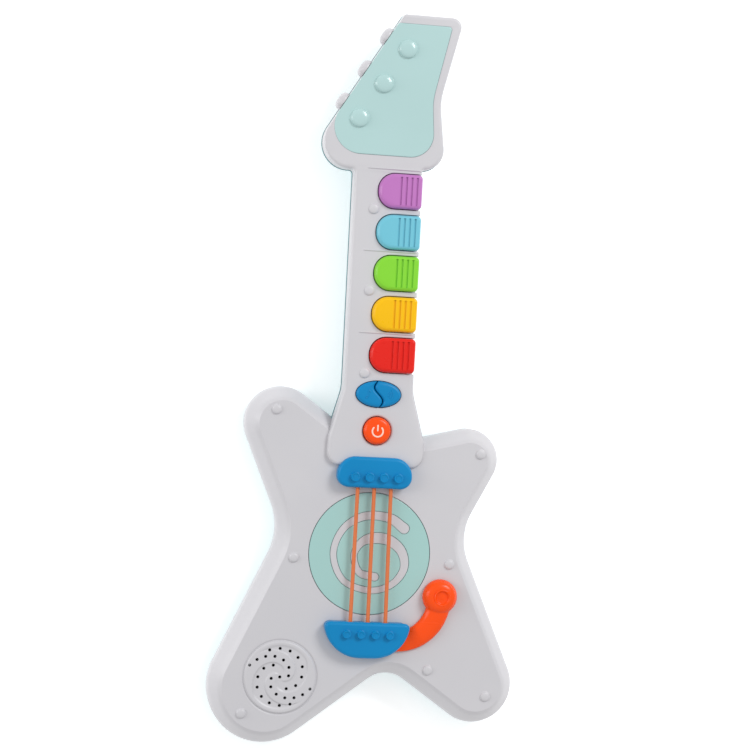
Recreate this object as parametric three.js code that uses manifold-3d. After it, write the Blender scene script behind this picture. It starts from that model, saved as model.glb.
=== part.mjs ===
// Toy electric guitar, lying on its back: +Y runs up the neck, +X to its right, +Z out of the front.
// Millimetres. Places are measured from the middle of the sound disc; the group is moved at the
// end, so that the origin is under the middle of the guitar, on the surface that it lies on.
import * as THREE from "three";
import { mergeVertices } from "three/addons/utils/BufferGeometryUtils.js";
import Module from "manifold-3d";

const wasm = await Module();
wasm.setup();

// ---- driving dimensions ----
const gap = 0.3; // between neighbours that touch or are nested
const wall = 2.2; // every shell
const reach = 60; // how far a cutter runs past what it cuts
const arcTolerance = 0.3;

const bodyParting = 13; // where the body's two shells meet
const bodyFace = 34;
const neckBottom = 16;
const neckParting = 25;
const neckFace = 38;

// Outlines are polygons [x, y, corner radius], anticlockwise seen from the front.
const bodyOutline = [
  [20, 78, 2],
  [47.5, 84.7, 60.6],
  [108.1, 100.3, 21.6],
  [64.3, 13.7, 39.4],
  [144.4, -167.2, 27.3],
  [17.6, -78.7, 20.2],
  [-167.7, -222.1, 38.9],
  [-60.7, 13.2, 41.4],
  [-123.7, 158.7, 25.3],
  [-20, 86, 2],
].reverse();
const neckOutline = [
  [33.8, 60, 9],
  [33.6, 78, 5],
  [24, 112, 32],
  [21.9, 266, 2],
  [37.9, 268, 14],
  [32, 314, 44],
  [45.8, 372.5, 6.5],
  [3.8, 372.5, 2.5],
  [-61.7, 263.5, 18.5],
  [-25.2, 263.5, 2.5],
  [-24.6, 113, 32],
  [-33.6, 79, 5],
  [-33.8, 60, 9],
];
const plateOutline = [
  [29.3, 274, 16],
  [26.2, 314, 44],
  [37.2, 365.6, 2],
  [1.2, 365.6, 1],
  [-53.9, 274, 18],
];

// The edges of the mouldings: [height, how far inside the outline].
const bodyFrontEdge = [
  [bodyParting, 0],
  [21.5, 0],
  [24, 0.7],
  [32.4, 6.8],
  [bodyFace, 8.8],
];
const bodyBackEdge = [
  [0, 9],
  [1.4, 6.6],
  [9, 0.8],
  [bodyParting - gap, 0.2],
];
const neckFrontEdge = [
  [neckParting + gap, 0],
  [35, 0],
  [37, 0.7],
  [neckFace, 2.1],
];
const neckBackEdge = [
  [neckBottom, 3.6],
  [17.4, 1.6],
  [21, -0.1],
  [neckParting, -0.4],
];

const discRadius = 42;
const discBottom = 32.2;
const speaker = { x: -57.3, y: -86.9, radius: 25 };
const keyPitch = 28.2;
const firstKeyY = 137.2;
const keyFoot = 29.6;
const keyTop = 41.8;
const keyContactX = 6.5; // a key's plunger, above its contact
const keyGrooves = { first: 7, pitch: 3.7, count: 4, halfLength: 9.3, halfWidth: 0.4, depth: 0.5 };
const powerAt = [-0.1, 84.9];
const ovalAt = [-0.5, 110];
const ovalSize = { halfLength: 15.6, halfWidth: 9, corners: 12 };
const leverPivot = [14, -57];
const leverSwing = 12; // degrees each way
const bridgeTop = 43;
const stringHeight = 38.4;
const stringRadius = 1.4;
const batteryRadius = 7.25;
const batteryLength = 50.5;
const bay = { x: 2, y: -24, length: 60, width: 48, roof: 18.6, wall: 3 };
const boardTop = 23.6;
const neckBoardTop = 21.6;

// ---- finishes ----
const finishes = {
  white: { color: 0xcbcad0, roughness: 0.35, metalness: 0 },
  teal: { color: 0x7fa6ab, roughness: 0.4, metalness: 0 },
  aqua: { color: 0xa9d2cf, roughness: 0.25, metalness: 0 },
  blue: { color: 0x1f88c0, roughness: 0.35, metalness: 0 },
  orange: { color: 0xff5a1e, roughness: 0.3, metalness: 0 },
  cord: { color: 0xda7341, roughness: 0.6, metalness: 0 },
  purple: { color: 0xbe6ebe, roughness: 0.3, metalness: 0 },
  sky: { color: 0x73c3d7, roughness: 0.3, metalness: 0 },
  green: { color: 0x7dd73c, roughness: 0.3, metalness: 0 },
  yellow: { color: 0xf8c314, roughness: 0.3, metalness: 0 },
  red: { color: 0xeb2d23, roughness: 0.3, metalness: 0 },
  steel: { color: 0xb9bcc0, roughness: 0.35, metalness: 1 },
  board: { color: 0x1f6b3a, roughness: 0.5, metalness: 0.1 },
  silicone: { color: 0xc9c9c4, roughness: 0.8, metalness: 0 },
  black: { color: 0x1c1c1e, roughness: 0.6, metalness: 0 },
  cell: { color: 0x3c4a6e, roughness: 0.35, metalness: 0.4 },
  lens: { color: 0xf4f4ef, roughness: 0.15, metalness: 0 },
};

const guitar = new THREE.Group();

// ---- helpers ----
// A three.js geometry as a solid that can be cut and joined.
function solid(geometry) {
  const bare = new THREE.BufferGeometry();
  bare.setAttribute("position", geometry.getAttribute("position"));
  bare.setIndex(geometry.index);
  const merged = mergeVertices(bare, 1e-4);
  return new wasm.Manifold(
    new wasm.Mesh({
      numProp: 3,
      vertProperties: new Float32Array(merged.attributes.position.array),
      triVerts: new Uint32Array(merged.index.array),
    }),
  );
}

function join(...solids) {
  return solids.reduce((all, next) => all.add(next));
}

function cut(from, ...cutters) {
  return from.subtract(join(...cutters));
}

// Adds one named piece to the guitar.
function piece(name, shape, finish) {
  const made = shape.getMesh();
  const geometry = new THREE.BufferGeometry();
  geometry.setAttribute("position", new THREE.BufferAttribute(made.vertProperties, made.numProp));
  geometry.setIndex(new THREE.BufferAttribute(made.triVerts, 1));
  geometry.computeVertexNormals();
  const mesh = new THREE.Mesh(geometry, new THREE.MeshStandardMaterial(finishes[finish]));
  mesh.name = name;
  guitar.add(mesh);
}

// The outline moved in by an inset, with every corner rounded by an arc. A step of an arc leaves the
// true circle by at most the tolerance, and turns by at most 45 degrees.
function ring(outline, inset = 0) {
  const points = [];
  outline.forEach(([x, y, radius], i) => {
    const corner = new THREE.Vector2(x, y);
    const [bx, by] = outline.at(i - 1);
    const [ax, ay] = outline[(i + 1) % outline.length];
    const before = new THREE.Vector2(bx, by).sub(corner).normalize();
    const after = new THREE.Vector2(ax, ay).sub(corner).normalize();
    const convex = before.cross(after) < 0;
    const half = Math.acos(before.dot(after)) / 2;
    const inward = before.clone().add(after).normalize();
    const shift = (convex ? inset : -inset) / Math.sin(half);
    const arcRadius = Math.max(convex ? radius - inset : radius + inset, 0.05);
    const centre = corner.clone().addScaledVector(inward, shift + arcRadius / Math.sin(half));
    const middle = inward.angle() + Math.PI;
    const sweep = Math.PI - 2 * half;
    const step = Math.min(2 * Math.acos(1 - arcTolerance / Math.max(radius, 1)), Math.PI / 4);
    const steps = Math.max(1, Math.ceil(sweep / step));
    for (let k = 0; k <= steps; k++) {
      const turn = (k / steps - 0.5) * sweep * (convex ? 1 : -1);
      points.push(
        new THREE.Vector2(
          centre.x + arcRadius * Math.cos(middle + turn),
          centre.y + arcRadius * Math.sin(middle + turn),
        ),
      );
    }
  });
  return points;
}

// A closed solid through rings of equal length, one above the other.
function throughRings(rings, heights) {
  const count = rings[0].length;
  const position = rings.flatMap((points, level) =>
    points.flatMap((p) => [p.x, p.y, heights[level]]),
  );
  const index = [];
  for (let level = 0; level + 1 < rings.length; level++) {
    for (let i = 0; i < count; i++) {
      const a = level * count + i;
      const b = level * count + ((i + 1) % count);
      index.push(a, b, b + count, a, b + count, a + count);
    }
  }
  const top = (rings.length - 1) * count;
  THREE.ShapeUtils.triangulateShape(rings[0], []).forEach(([a, b, c]) => index.push(a, c, b));
  THREE.ShapeUtils.triangulateShape(rings.at(-1), []).forEach(([a, b, c]) =>
    index.push(top + a, top + b, top + c),
  );
  const geometry = new THREE.BufferGeometry();
  geometry.setAttribute("position", new THREE.Float32BufferAttribute(position, 3));
  geometry.setIndex(index);
  return solid(geometry);
}

// A moulding with a shaped edge: levels are [height, inset], from the lowest up.
function moulding(outline, levels, extra = 0) {
  return throughRings(
    levels.map(([, inset]) => ring(outline, inset + extra)),
    levels.map(([height]) => height),
  );
}

function slab(outline, low, high, inset = 0) {
  return moulding(outline, [
    [low, inset],
    [high, inset],
  ]);
}

function block(x0, x1, y0, y1, z0, z1) {
  const box = new THREE.BoxGeometry(x1 - x0, y1 - y0, z1 - z0);
  return solid(box.translate((x0 + x1) / 2, (y0 + y1) / 2, (z0 + z1) / 2));
}

function rod(x, y, radius, low, high, sides = 12) {
  const cylinder = new THREE.CylinderGeometry(radius, radius, high - low, sides);
  return solid(cylinder.rotateX(Math.PI / 2).translate(x, y, (low + high) / 2));
}

function tube(x, y, outer, inner, low, high, sides = 16) {
  return cut(rod(x, y, outer, low, high, sides), rod(x, y, inner, low - 1, high + 1, sides));
}

// A solid of revolution about a line along Z: profile points are [radius, height], from the axis
// at the bottom round to the axis at the top.
function turned(profile, x = 0, y = 0, sides = 16) {
  const points = profile.map(([radius, height]) => new THREE.Vector2(radius, height));
  const lathe = new THREE.LatheGeometry(points, sides);
  return solid(lathe.rotateX(Math.PI / 2).translate(x, y, 0));
}

// A low round dome standing on a face.
function dome(x, y, radius, face, height, sides = 12) {
  const profile = [
    [0, face - 1],
    [radius, face - 1],
    [radius, face],
    [radius * 0.86, face + height * 0.55],
    [radius * 0.5, face + height * 0.9],
    [0, face + height],
  ];
  return turned(profile, x, y, sides);
}

// A round wire along a smooth curve through points.
function wire(points, radius) {
  const curve = new THREE.CatmullRomCurve3(points.map((p) => new THREE.Vector3(...p)));
  const section = new THREE.Shape().absarc(0, 0, radius, 0, Math.PI * 2);
  const geometry = new THREE.ExtrudeGeometry(section, {
    curveSegments: 3,
    steps: 12,
    extrudePath: curve,
  });
  return solid(geometry);
}

// ---- body shells ----
const bodyEnvelope = join(
  moulding(bodyOutline, bodyFrontEdge, -gap),
  moulding(bodyOutline, bodyBackEdge, -gap),
  slab(bodyOutline, bodyFace - 1, bodyFace + gap, 8.4),
  slab(bodyOutline, bodyParting - 1, bodyParting + 1, -gap),
);
const caseScrews = [
  [-64, 86],
  [66, 68],
  [-93, -94],
  [79, -87],
  [-52, 13],
  [54, 12],
];
const tangScrews = [
  [-13, 62],
  [13, 62],
];
const tang = { halfWidth: 20, low: 54 };
const tangNotchLow = 70; // the front's edge is open from here up, under the neck
const studRadius = 3.75;

const studs = [
  [-69.4, 96.2],
  [-52.3, -4.6],
  [-82.7, -112.4],
  [74.3, 72.1],
  [56.3, -5.2],
  [45, -79],
  [86.7, -96],
];

// The grille's holes lie on two spiral arms, each repeated half a turn round.
function grilleHoles() {
  const places = [[0, 0]];
  const inner = (k) => [
    22.5 - 2.45 * k - 0.05 * k ** 2,
    160.3 - 15.2 * k - 0.2 * k ** 2 - 0.24 * k ** 3,
  ];
  const outer = (k) => [20 - 0.42 * k - 0.0226 * k ** 3, 113.5 - 21.2 * k - 0.0098 * k ** 4];
  const spread = [
    { count: 7, place: inner },
    { count: 8, place: outer },
  ];
  spread.forEach(({ count, place }) => {
    for (let k = 0; k < count; k++) {
      const [radius, degrees] = place(k);
      [0, 180].forEach((half) => {
        const angle = THREE.MathUtils.degToRad(degrees + half);
        places.push([radius * Math.cos(angle), radius * Math.sin(angle)]);
      });
    }
  });
  return places.map(([x, y]) => [speaker.x + x, speaker.y + y]);
}

function bodyFront() {
  const roof = bodyFace - wall;
  const outer = moulding(bodyOutline, bodyFrontEdge);
  const inner = moulding(bodyOutline, [
    [bodyParting - 1, wall],
    [21.5, wall],
    [roof, 6.8 + wall],
  ]);
  const ledge = tube(0, 0, discRadius + 4, discRadius - 3, roof - 2.6, roof + 0.1, 28);
  const { x: sx, y: sy, radius: cone } = speaker;
  const collar = tube(sx, sy, cone + 2.2, cone + 0.5, 27, roof + 0.1, 20);
  const bosses = caseScrews.map(([x, y]) => rod(x, y, 4, bodyParting + gap, roof + 0.1, 8));
  const pivotBoss = rod(...leverPivot, 4, 24, roof + 0.1, 10);
  const shell = join(
    cut(outer, inner),
    collar,
    pivotBoss,
    ...bosses,
    ...studs.map(([x, y]) => dome(x, y, studRadius, bodyFace, 1.7, 10)),
  );
  return cut(
    join(cut(shell, rod(0, 0, discRadius + gap, roof - 3, bodyFace + 1, 40)), ledge),
    block(-tang.halfWidth - gap, tang.halfWidth + gap, tangNotchLow, 110, 0, bodyFace + 1),
    rod(0, 0, discRadius - 3, roof - 4, roof + 1, 28),
    rod(...leverPivot, 1.75, 20, bodyFace + 1, 10),
    ...caseScrews.map(([x, y]) => rod(x, y, 1.75, 0, 27, 6)),
    ...grilleHoles().map(([x, y]) => rod(x, y, 1.05, roof - 1, bodyFace + 1, 6)),
  );
}

function bodyBack() {
  const outer = moulding(bodyOutline, bodyBackEdge);
  const inner = moulding(bodyOutline, [
    [wall, 7.6],
    [9, 0.8 + wall],
    [bodyParting + 1, wall],
  ]);
  const bayWalls = block(
    bay.x - bay.length / 2 - bay.wall,
    bay.x + bay.length / 2 + bay.wall,
    bay.y - bay.width / 2 - bay.wall,
    bay.y + bay.width / 2 + bay.wall,
    0.5,
    bay.roof + 1.6,
  );
  const bayHollow = block(
    bay.x - bay.length / 2,
    bay.x + bay.length / 2,
    bay.y - bay.width / 2,
    bay.y + bay.width / 2,
    -1,
    bay.roof,
  );
  const screwPosts = [
    ...caseScrews.map(([x, y]) => rod(x, y, 5.4, 0.5, bodyParting - gap, 10)),
    ...tangScrews.map(([x, y]) => rod(x, y, 5.4, 0.5, neckBottom - gap, 10)),
  ];
  const boardPosts = boardPostPlaces.map(([x, y]) => rod(x, y, 3, 1, boardTop - 1.9, 10));
  const shell = join(cut(outer, inner), bayWalls, ...screwPosts, ...boardPosts);
  const latch = rod(...lugAt, 6, 0.5, 10, 12);
  return cut(
    join(shell, latch),
    bayHollow,
    rod(...lugAt, 1.75, -1, 8, 8),
    doorSolid(gap, -1),
    ...[...caseScrews, ...tangScrews].flatMap(([x, y]) => [
      rod(x, y, 1.75, -1, reach, 6),
      rod(x, y, 3.6, -1, 6.3, 10),
    ]),
  );
}

const lugAt = [bay.x, bay.y - bay.width / 2 - 4.5];
const boardPostPlaces = [
  [-38, 34],
  [38, 34],
  [-38, -8],
];

// The battery door: a plate with a tab at one end and a screw lug at the other.
function doorSolid(grow = 0, bottom = 0.2) {
  const halfLength = bay.length / 2 + 1.5 + grow;
  const halfWidth = bay.width / 2 + 1.5 + grow;
  const plate = block(
    bay.x - halfLength,
    bay.x + halfLength,
    bay.y - halfWidth,
    bay.y + halfWidth,
    bottom,
    1.9 + grow,
  );
  const lug = rod(...lugAt, 4.6 + grow, bottom, 1.9 + grow, 14);
  return join(plate, lug);
}

// ---- neck shells, with the headstock ----
const neckScrews = [
  [-17.6, 209],
  [0, 312],
];
const keyYs = [4, 3, 2, 1, 0].map((k) => firstKeyY + k * keyPitch);
const neckDots = [237, 181, 124.2];
const fretYs = [265, 208.5, 152.1]; // clear of the keys on both sides

// The headstock's slanting edge runs down from its top left corner, and the knobs stand out of it.
const slantTop = new THREE.Vector2(3.8, 372.5);
const slantAlong = new THREE.Vector2(-61.7, 263.5).sub(slantTop).normalize();
const slantOut = new THREE.Vector2(slantAlong.y, -slantAlong.x);
const knobHeight = 31.8;
const knobSpots = [0, 1, 2].map((k) =>
  slantTop.clone().addScaledVector(slantAlong, 19.5 + 27.2 * k),
);

// A key's outline. The keys' right ends follow the neck, which narrows upwards.
function keyOutline(y) {
  const half = 12;
  const right = 23.4 - (y - firstKeyY) * 0.0115;
  return [
    [right, y - half, 3],
    [right, y + half, 3],
    [-8.2, y + half, 11.4],
    [-8.2, y - half, 11.4],
  ];
}

// The oval is an ellipse: its corners are where the tangents of neighbouring points meet, and each is
// rounded by the ellipse's own radius of curvature there.
function ovalOutline() {
  const [x, y] = ovalAt;
  const { halfLength: a, halfWidth: b, corners } = ovalSize;
  const stretch = 1 / Math.cos(Math.PI / corners);
  return [...Array(corners).keys()].map((k) => {
    const angle = ((k + 0.5) * 2 * Math.PI) / corners;
    const [c, s] = [Math.cos(angle), Math.sin(angle)];
    const curvature = (a * a * s * s + b * b * c * c) ** 1.5 / (a * b);
    return [x + a * c * stretch, y + b * s * stretch, curvature * 0.85];
  });
}

// A shape that stands along +X is turned to stand out of the slanting edge at a place.
function onSlant(shape, spot) {
  const degrees = THREE.MathUtils.radToDeg(slantOut.angle());
  return shape.rotate([0, 0, degrees]).translate([spot.x, spot.y, 0]);
}

function lyingRod(radius, from, to, height, sides = 12) {
  const cylinder = new THREE.CylinderGeometry(radius, radius, to - from, sides);
  return solid(cylinder.rotateZ(-Math.PI / 2).translate((from + to) / 2, 0, height));
}

function neckFront() {
  const outer = moulding(neckOutline, neckFrontEdge);
  const inner = slab(neckOutline, neckParting - 1, neckFace - wall, wall);
  const shell = cut(outer, inner);
  const bosses = neckScrews.map(([x, y]) =>
    rod(x, y, 3.6, neckParting + gap, neckFace - 1, 10),
  );
  const plateSeat = slab(plateOutline, neckFace - 4.6, neckFace - 2, -1.2);
  const frets = fretYs.map((y) => block(-16, 20.5, y - 0.7, y + 0.7, neckFace - 1, neckFace + 0.7));
  const dots = neckDots.map((y) => dome(-10.8, y, studRadius, neckFace, 1.6, 10));
  return cut(
    join(shell, plateSeat.intersect(outer), ...bosses, ...frets, ...dots),
    bodyEnvelope,
    slab(plateOutline, neckFace - 2, neckFace + 3, -gap),
    ...keyYs.map((y) => slab(keyOutline(y), neckParting + 2, neckFace + 4, -0.4)),
    rod(...powerAt, 9.9, 20, neckFace + 2, 28),
    slab(ovalOutline(), 20, neckFace + 2, -0.4),
    ...neckScrews.map(([x, y]) => rod(x, y, 1.6, 0, neckFace - wall, 8)),
    ...knobSpots.map((spot) => onSlant(lyingRod(2.7, -6, 8, knobHeight, 10), spot)),
  );
}

function neckBack() {
  const outer = moulding(neckOutline, neckBackEdge);
  const inner = moulding(neckOutline, [
    [neckBottom + wall, 3.8],
    [21, wall],
    [neckParting + 1, wall - 0.4],
  ]);
  const posts = neckScrews.map(([x, y]) => rod(x, y, 5, neckBottom + 0.5, neckParting, 12));
  const trough = cut(outer, inner);
  const tangTop = neckParting - 0.4;
  const tangOuter = block(-tang.halfWidth, tang.halfWidth, tang.low, 100, neckBottom, tangTop);
  const tangInner = block(
    -tang.halfWidth + wall,
    tang.halfWidth - wall,
    tang.low + wall,
    120,
    neckBottom + wall,
    neckParting + 1,
  );
  const tangBosses = tangScrews.map(([x, y]) => rod(x, y, 4, neckBottom + 0.5, tangTop, 10));
  const mouth = block(-17.8, 17.8, 70, 104, neckBottom + wall, neckParting + 1);
  return cut(
    join(cut(trough, bodyEnvelope), cut(tangOuter, tangInner), ...tangBosses, ...posts),
    mouth,
    ...tangScrews.map(([x, y]) => rod(x, y, 1.75, 0, 23, 8)),
    ...neckScrews.flatMap(([x, y]) => [
      rod(x, y, 1.75, 0, reach, 6),
      rod(x, y, 3.6, 0, 20.3, 10),
    ]),
  );
}

// ---- headstock plate and knobs ----
function headstockPlate() {
  const plate = moulding(plateOutline, [
    [neckFace - 2 + gap, 0],
    [neckFace, 0],
    [neckFace + 0.4, 0.5],
  ]);
  const spots = [
    [6.9, 348],
    [-8.4, 323.1],
    [-24.1, 298.4],
  ];
  return join(plate, ...spots.map(([x, y]) => dome(x, y, 7, neckFace + 0.3, 2.6, 16)));
}

function tunerKnob(spot) {
  const shape = [
    [0, gap],
    [6.5, gap],
    [6.5, 1.2],
    [5.7, 3.2],
    [3.6, 4.7],
    [0, 5.3],
  ];
  const knob = turned(shape, 0, 0, 16).rotate([0, 90, 0]).translate([0, 0, knobHeight]);
  return onSlant(join(knob, lyingRod(2.3, -5, 1, knobHeight, 10)), spot);
}

// ---- sound disc and its spiral ----
// The band's middle line, from its outer end in: [angle in degrees, radius, width].
const spiralLine = [
  [38, 29.6, 7.2],
  [64, 28, 6.2],
  [101, 26, 5.5],
  [140, 25.1, 4.8],
  [183, 25.1, 4.4],
  [228, 25.7, 4.3],
  [273, 25.4, 4.4],
  [308, 26.5, 4.6],
  [338, 26.4, 5.4],
  [365, 22.6, 6.4],
  [396, 16.4, 7.2],
  [440, 10.9, 7.2],
  [492, 9.5, 5.4],
  [550, 10.8, 4.2],
  [604, 14.6, 4.8],
  [646, 16.6, 5.6],
];

function spiralBand(low, high, extra = 0) {
  const places = spiralLine.map(([degrees, radius, width]) => {
    const angle = THREE.MathUtils.degToRad(degrees);
    return new THREE.Vector3(radius * Math.cos(angle), radius * Math.sin(angle), width);
  });
  const curve = new THREE.CatmullRomCurve3(places);
  const count = 34;
  const sides = [[], []];
  for (let k = 0; k <= count; k++) {
    const at = curve.getPoint(k / count);
    const along = curve.getTangent(k / count);
    const across = new THREE.Vector2(-along.y, along.x).normalize();
    const half = at.z / 2 + extra;
    sides[0].push(new THREE.Vector2(at.x + across.x * half, at.y + across.y * half));
    sides[1].push(new THREE.Vector2(at.x - across.x * half, at.y - across.y * half));
  }
  const outline = [...sides[1], ...sides[0].reverse()];
  const flat = throughRings([outline, outline], [low, high]);
  const ends = [0, 1].map((t) => curve.getPoint(t));
  return join(flat, ...ends.map((p) => rod(p.x, p.y, p.z / 2 + extra, low, high, 16)));
}

// ---- bridges, strings ----
const pegYs = { upper: 53, lower: -54.7 };
const pegXs = [0, 1, 2, 3].map((k) => -14.1 + 9.95 * k);
const strings = [
  { name: "left", low: -11.4, high: -11.3 },
  { name: "middle", low: 0.7, high: 0.1 },
  { name: "right", low: 13, high: 11.7 },
];
const stringLow = -50;
const stringHigh = 50.5;
const upperBridgeOutline = [
  [25.6, 45.6, 8],
  [25.6, 66.8, 12.6],
  [-26.2, 66.8, 12.6],
  [-26.2, 45.6, 8],
];
const lowerBridgeOutline = [
  [25.2, -71.3, 25],
  [30.6, -46.6, 3.6],
  [-30, -46.6, 3.6],
  [-24.6, -71.3, 25],
];

function pegs(y, radius) {
  return pegXs.map((x) => rod(x, y, radius, bridgeTop - 1, bridgeTop + 2.6, 14));
}

const stringSlots = strings.flatMap(({ low, high }) => [
  block(low - 2.1, low + 2.1, stringLow - 1.5, stringLow + 8, bodyFace - 1, stringHeight + 2),
  block(high - 2.1, high + 2.1, stringHigh - 8, stringHigh + 1.5, bodyFace - 1, stringHeight + 2),
]);

function upperBridge() {
  const outer = moulding(upperBridgeOutline, [
    [bodyFace + gap, 0],
    [bridgeTop - 1.6, 0],
    [bridgeTop, 1.8],
  ]);
  const inner = slab(upperBridgeOutline, bodyFace, bridgeTop - wall, wall);
  const overNeck = slab(neckOutline, bodyFace, neckFace + gap, -gap);
  return cut(join(cut(outer, inner), ...pegs(pegYs.upper, 3.1)), overNeck, ...stringSlots);
}

function lowerBridge() {
  const outer = moulding(lowerBridgeOutline, [
    [bodyFace + gap, 0],
    [bridgeTop - 1.6, 0],
    [bridgeTop, 1.8],
  ]);
  const inner = slab(lowerBridgeOutline, bodyFace, bridgeTop - wall, wall);
  const [px, py] = leverPivot;
  const sweepRoom = [-leverSwing - 2, -8, 0, 8, leverSwing + 2].map((degrees) =>
    leverArm(0.5)
      .translate([-px, -py, 0])
      .rotate([0, 0, degrees])
      .translate([px, py, 0])
      .intersect(block(px, reach, -reach - 30, reach, bodyFace - 1, bridgeTop - wall)),
  );
  return cut(join(cut(outer, inner), ...pegs(pegYs.lower, 2.8)), ...sweepRoom, ...stringSlots);
}

// One half of a string: a round cord between two points in the plane of the strings.
function stringHalf(from, to) {
  const length = from.distanceTo(to);
  const cylinder = new THREE.CylinderGeometry(stringRadius, stringRadius, length, 10);
  const degrees = THREE.MathUtils.radToDeg(to.clone().sub(from).angle());
  const middle = from.clone().add(to).multiplyScalar(0.5);
  return solid(cylinder.rotateZ(-Math.PI / 2))
    .rotate([0, 0, degrees])
    .translate([middle.x, middle.y, stringHeight]);
}

// ---- lever ----
const leverArc = { x: 20.6, y: -30.2, radius: 29.6 };
const leverKnob = { x: 50.4, y: -27.6, radius: 12.2 };
const leverBottom = bodyFace + gap;

// The arm's outline is a band of an arc, from under the knob round to the pivot.
function leverArm(extra = 0) {
  const across = [];
  const count = 10;
  for (let k = 0; k <= count; k++) {
    const part = k / count;
    const angle = THREE.MathUtils.degToRad(3 - 98 * part);
    const half = 8.3 + extra - 1.6 * part * part;
    across.push([angle, half]);
  }
  const place = (angle, radius) =>
    new THREE.Vector2(leverArc.x + radius * Math.cos(angle), leverArc.y + radius * Math.sin(angle));
  const arm = (share) => [
    ...across.map(([angle, half]) => place(angle, leverArc.radius - half * share)),
    ...across.toReversed().map(([angle, half]) => place(angle, leverArc.radius + half * share)),
  ];
  return throughRings(
    [arm(1), arm(0.96), arm(0.76), arm(0.36)],
    [leverBottom - extra, leverBottom + 2, leverBottom + 4.6, leverBottom + 5.9 + extra],
  );
}

function whammyLever() {
  const knobShape = [
    [0, leverBottom],
    [leverKnob.radius, leverBottom],
    [leverKnob.radius, leverBottom + 3.6],
    [10.6, leverBottom + 6.6],
    [7.4, leverBottom + 8.2],
    [5.8, leverBottom + 8],
    [4.6, leverBottom + 7],
    [0, leverBottom + 6.6],
  ];
  const knob = turned(knobShape, leverKnob.x, leverKnob.y, 24);
  const hub = rod(...leverPivot, 6.6, leverBottom, leverBottom + 4, 16);
  const [px, py] = leverPivot;
  const coverRoom = block(px - 12, px + 13, py - 12, py + 10, leverBottom + 4, bridgeTop);
  return cut(join(cut(leverArm(), coverRoom), knob, hub), rod(px, py, 2.5, 30, reach, 12));
}

function leverScrew() {
  const [x, y] = leverPivot;
  const shape = [
    [0, 25.5],
    [1.4, 25.5],
    [1.4, bodyFace + 0.2],
    [2.2, bodyFace + 0.2],
    [2.2, leverBottom + 4.3],
    [4, leverBottom + 4.3],
    [3.2, leverBottom + 5.8],
    [0, leverBottom + 5.8],
  ];
  return turned(shape, x, y, 12);
}

// ---- keys and buttons ----
function keyCap(y) {
  const outline = keyOutline(y);
  const cap = moulding(outline, [
    [keyFoot, 0],
    [keyTop - 2.2, 0],
    [keyTop - 0.6, 1],
    [keyTop, 2.6],
  ]);
  const hollow = slab(outline, keyFoot - 1, keyTop - wall, 1.8);
  const plunger = rod(keyContactX, y, 2.6, keyFoot - 1.3, keyTop - 1.5, 10);
  const { first, pitch, count, halfLength, halfWidth, depth } = keyGrooves;
  const grooves = [...Array(count).keys()].map((k) => {
    const x = first + k * pitch;
    return block(x - halfWidth, x + halfWidth, y - halfLength, y + halfLength, keyTop - depth, reach);
  });
  return cut(join(cut(cap, hollow), plunger), ...grooves);
}

// The oval button is split by an S-shaped line; side is -1 for its left half and +1 for its right.
function ovalHalf(side) {
  const [x, y] = ovalAt;
  const whole = moulding(ovalOutline(), [
    [33, 0],
    [39, 0],
    [40.2, 1.2],
    [40.6, 3],
  ]);
  const split = [];
  for (let k = 0; k <= 10; k++) {
    const across = -11 + 2.2 * k;
    const bend = 2.6 * Math.sin((across / 9) * Math.PI) + across * 0.1;
    split.push(new THREE.Vector2(x - bend + side * 0.25, y + across));
  }
  const far = x + side * 20;
  const outline = [...split, new THREE.Vector2(far, y + 11), new THREE.Vector2(far, y - 11)];
  if (side > 0) {
    outline.reverse();
  }
  const half = whole.intersect(throughRings([outline, outline], [30, 45]));
  return join(half, rod(x + side * 7.5, y, 2, 25.6, 34, 10));
}

function powerButton() {
  const shape = [
    [0, 25.6],
    [2, 25.6],
    [2, 34.5],
    [9.5, 34.5],
    [9.5, 39.2],
    [8.2, 40.6],
    [4.6, 41.4],
    [0, 41.6],
  ];
  return turned(shape, ...powerAt, 24);
}

// ---- electronics ----
function speakerFrame() {
  const shape = [
    [11.6, 19],
    [14, 19],
    [speaker.radius, 28.6],
    [speaker.radius, 31.3],
    [speaker.radius - 3, 31.3],
    [speaker.radius - 3, 29.8],
    [13.4, 20.4],
    [11.6, 20.4],
    [11.6, 19],
  ];
  return turned(shape, speaker.x, speaker.y, 20);
}

function speakerCone() {
  const shape = [
    [0, 22.2],
    [9, 22.2],
    [speaker.radius - 3.6, 30.2],
    [speaker.radius - 3.6, 31],
    [9, 23.2],
    [5, 25.6],
    [0, 26.6],
  ];
  return turned(shape, speaker.x, speaker.y, 20);
}

function mainBoard() {
  const board = block(-42, 42, -12, 40, boardTop - 1.6, boardTop);
  const chip = block(-6, 6, -2, 10, boardTop - 0.1, boardTop + 1.6);
  const capacitor = rod(28, 2, 3.2, boardTop - 0.1, boardTop + 5, 12);
  return join(board, chip, capacitor);
}

function neckBoard() {
  const wide = block(-9, 17.6, 122, 258, neckBoardTop - 1.6, neckBoardTop);
  const narrow = block(-7.5, 7.5, 74, 123, neckBoardTop - 1.6, neckBoardTop);
  return join(wide, narrow);
}

function contactPad(outline, spots) {
  const strip = slab(outline, neckBoardTop + gap, neckBoardTop + 1.5);
  const bumps = spots.map(([x, y]) => rod(x, y, 4, neckBoardTop + 1, neckBoardTop + 2.4, 8));
  return join(strip, ...bumps);
}

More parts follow.
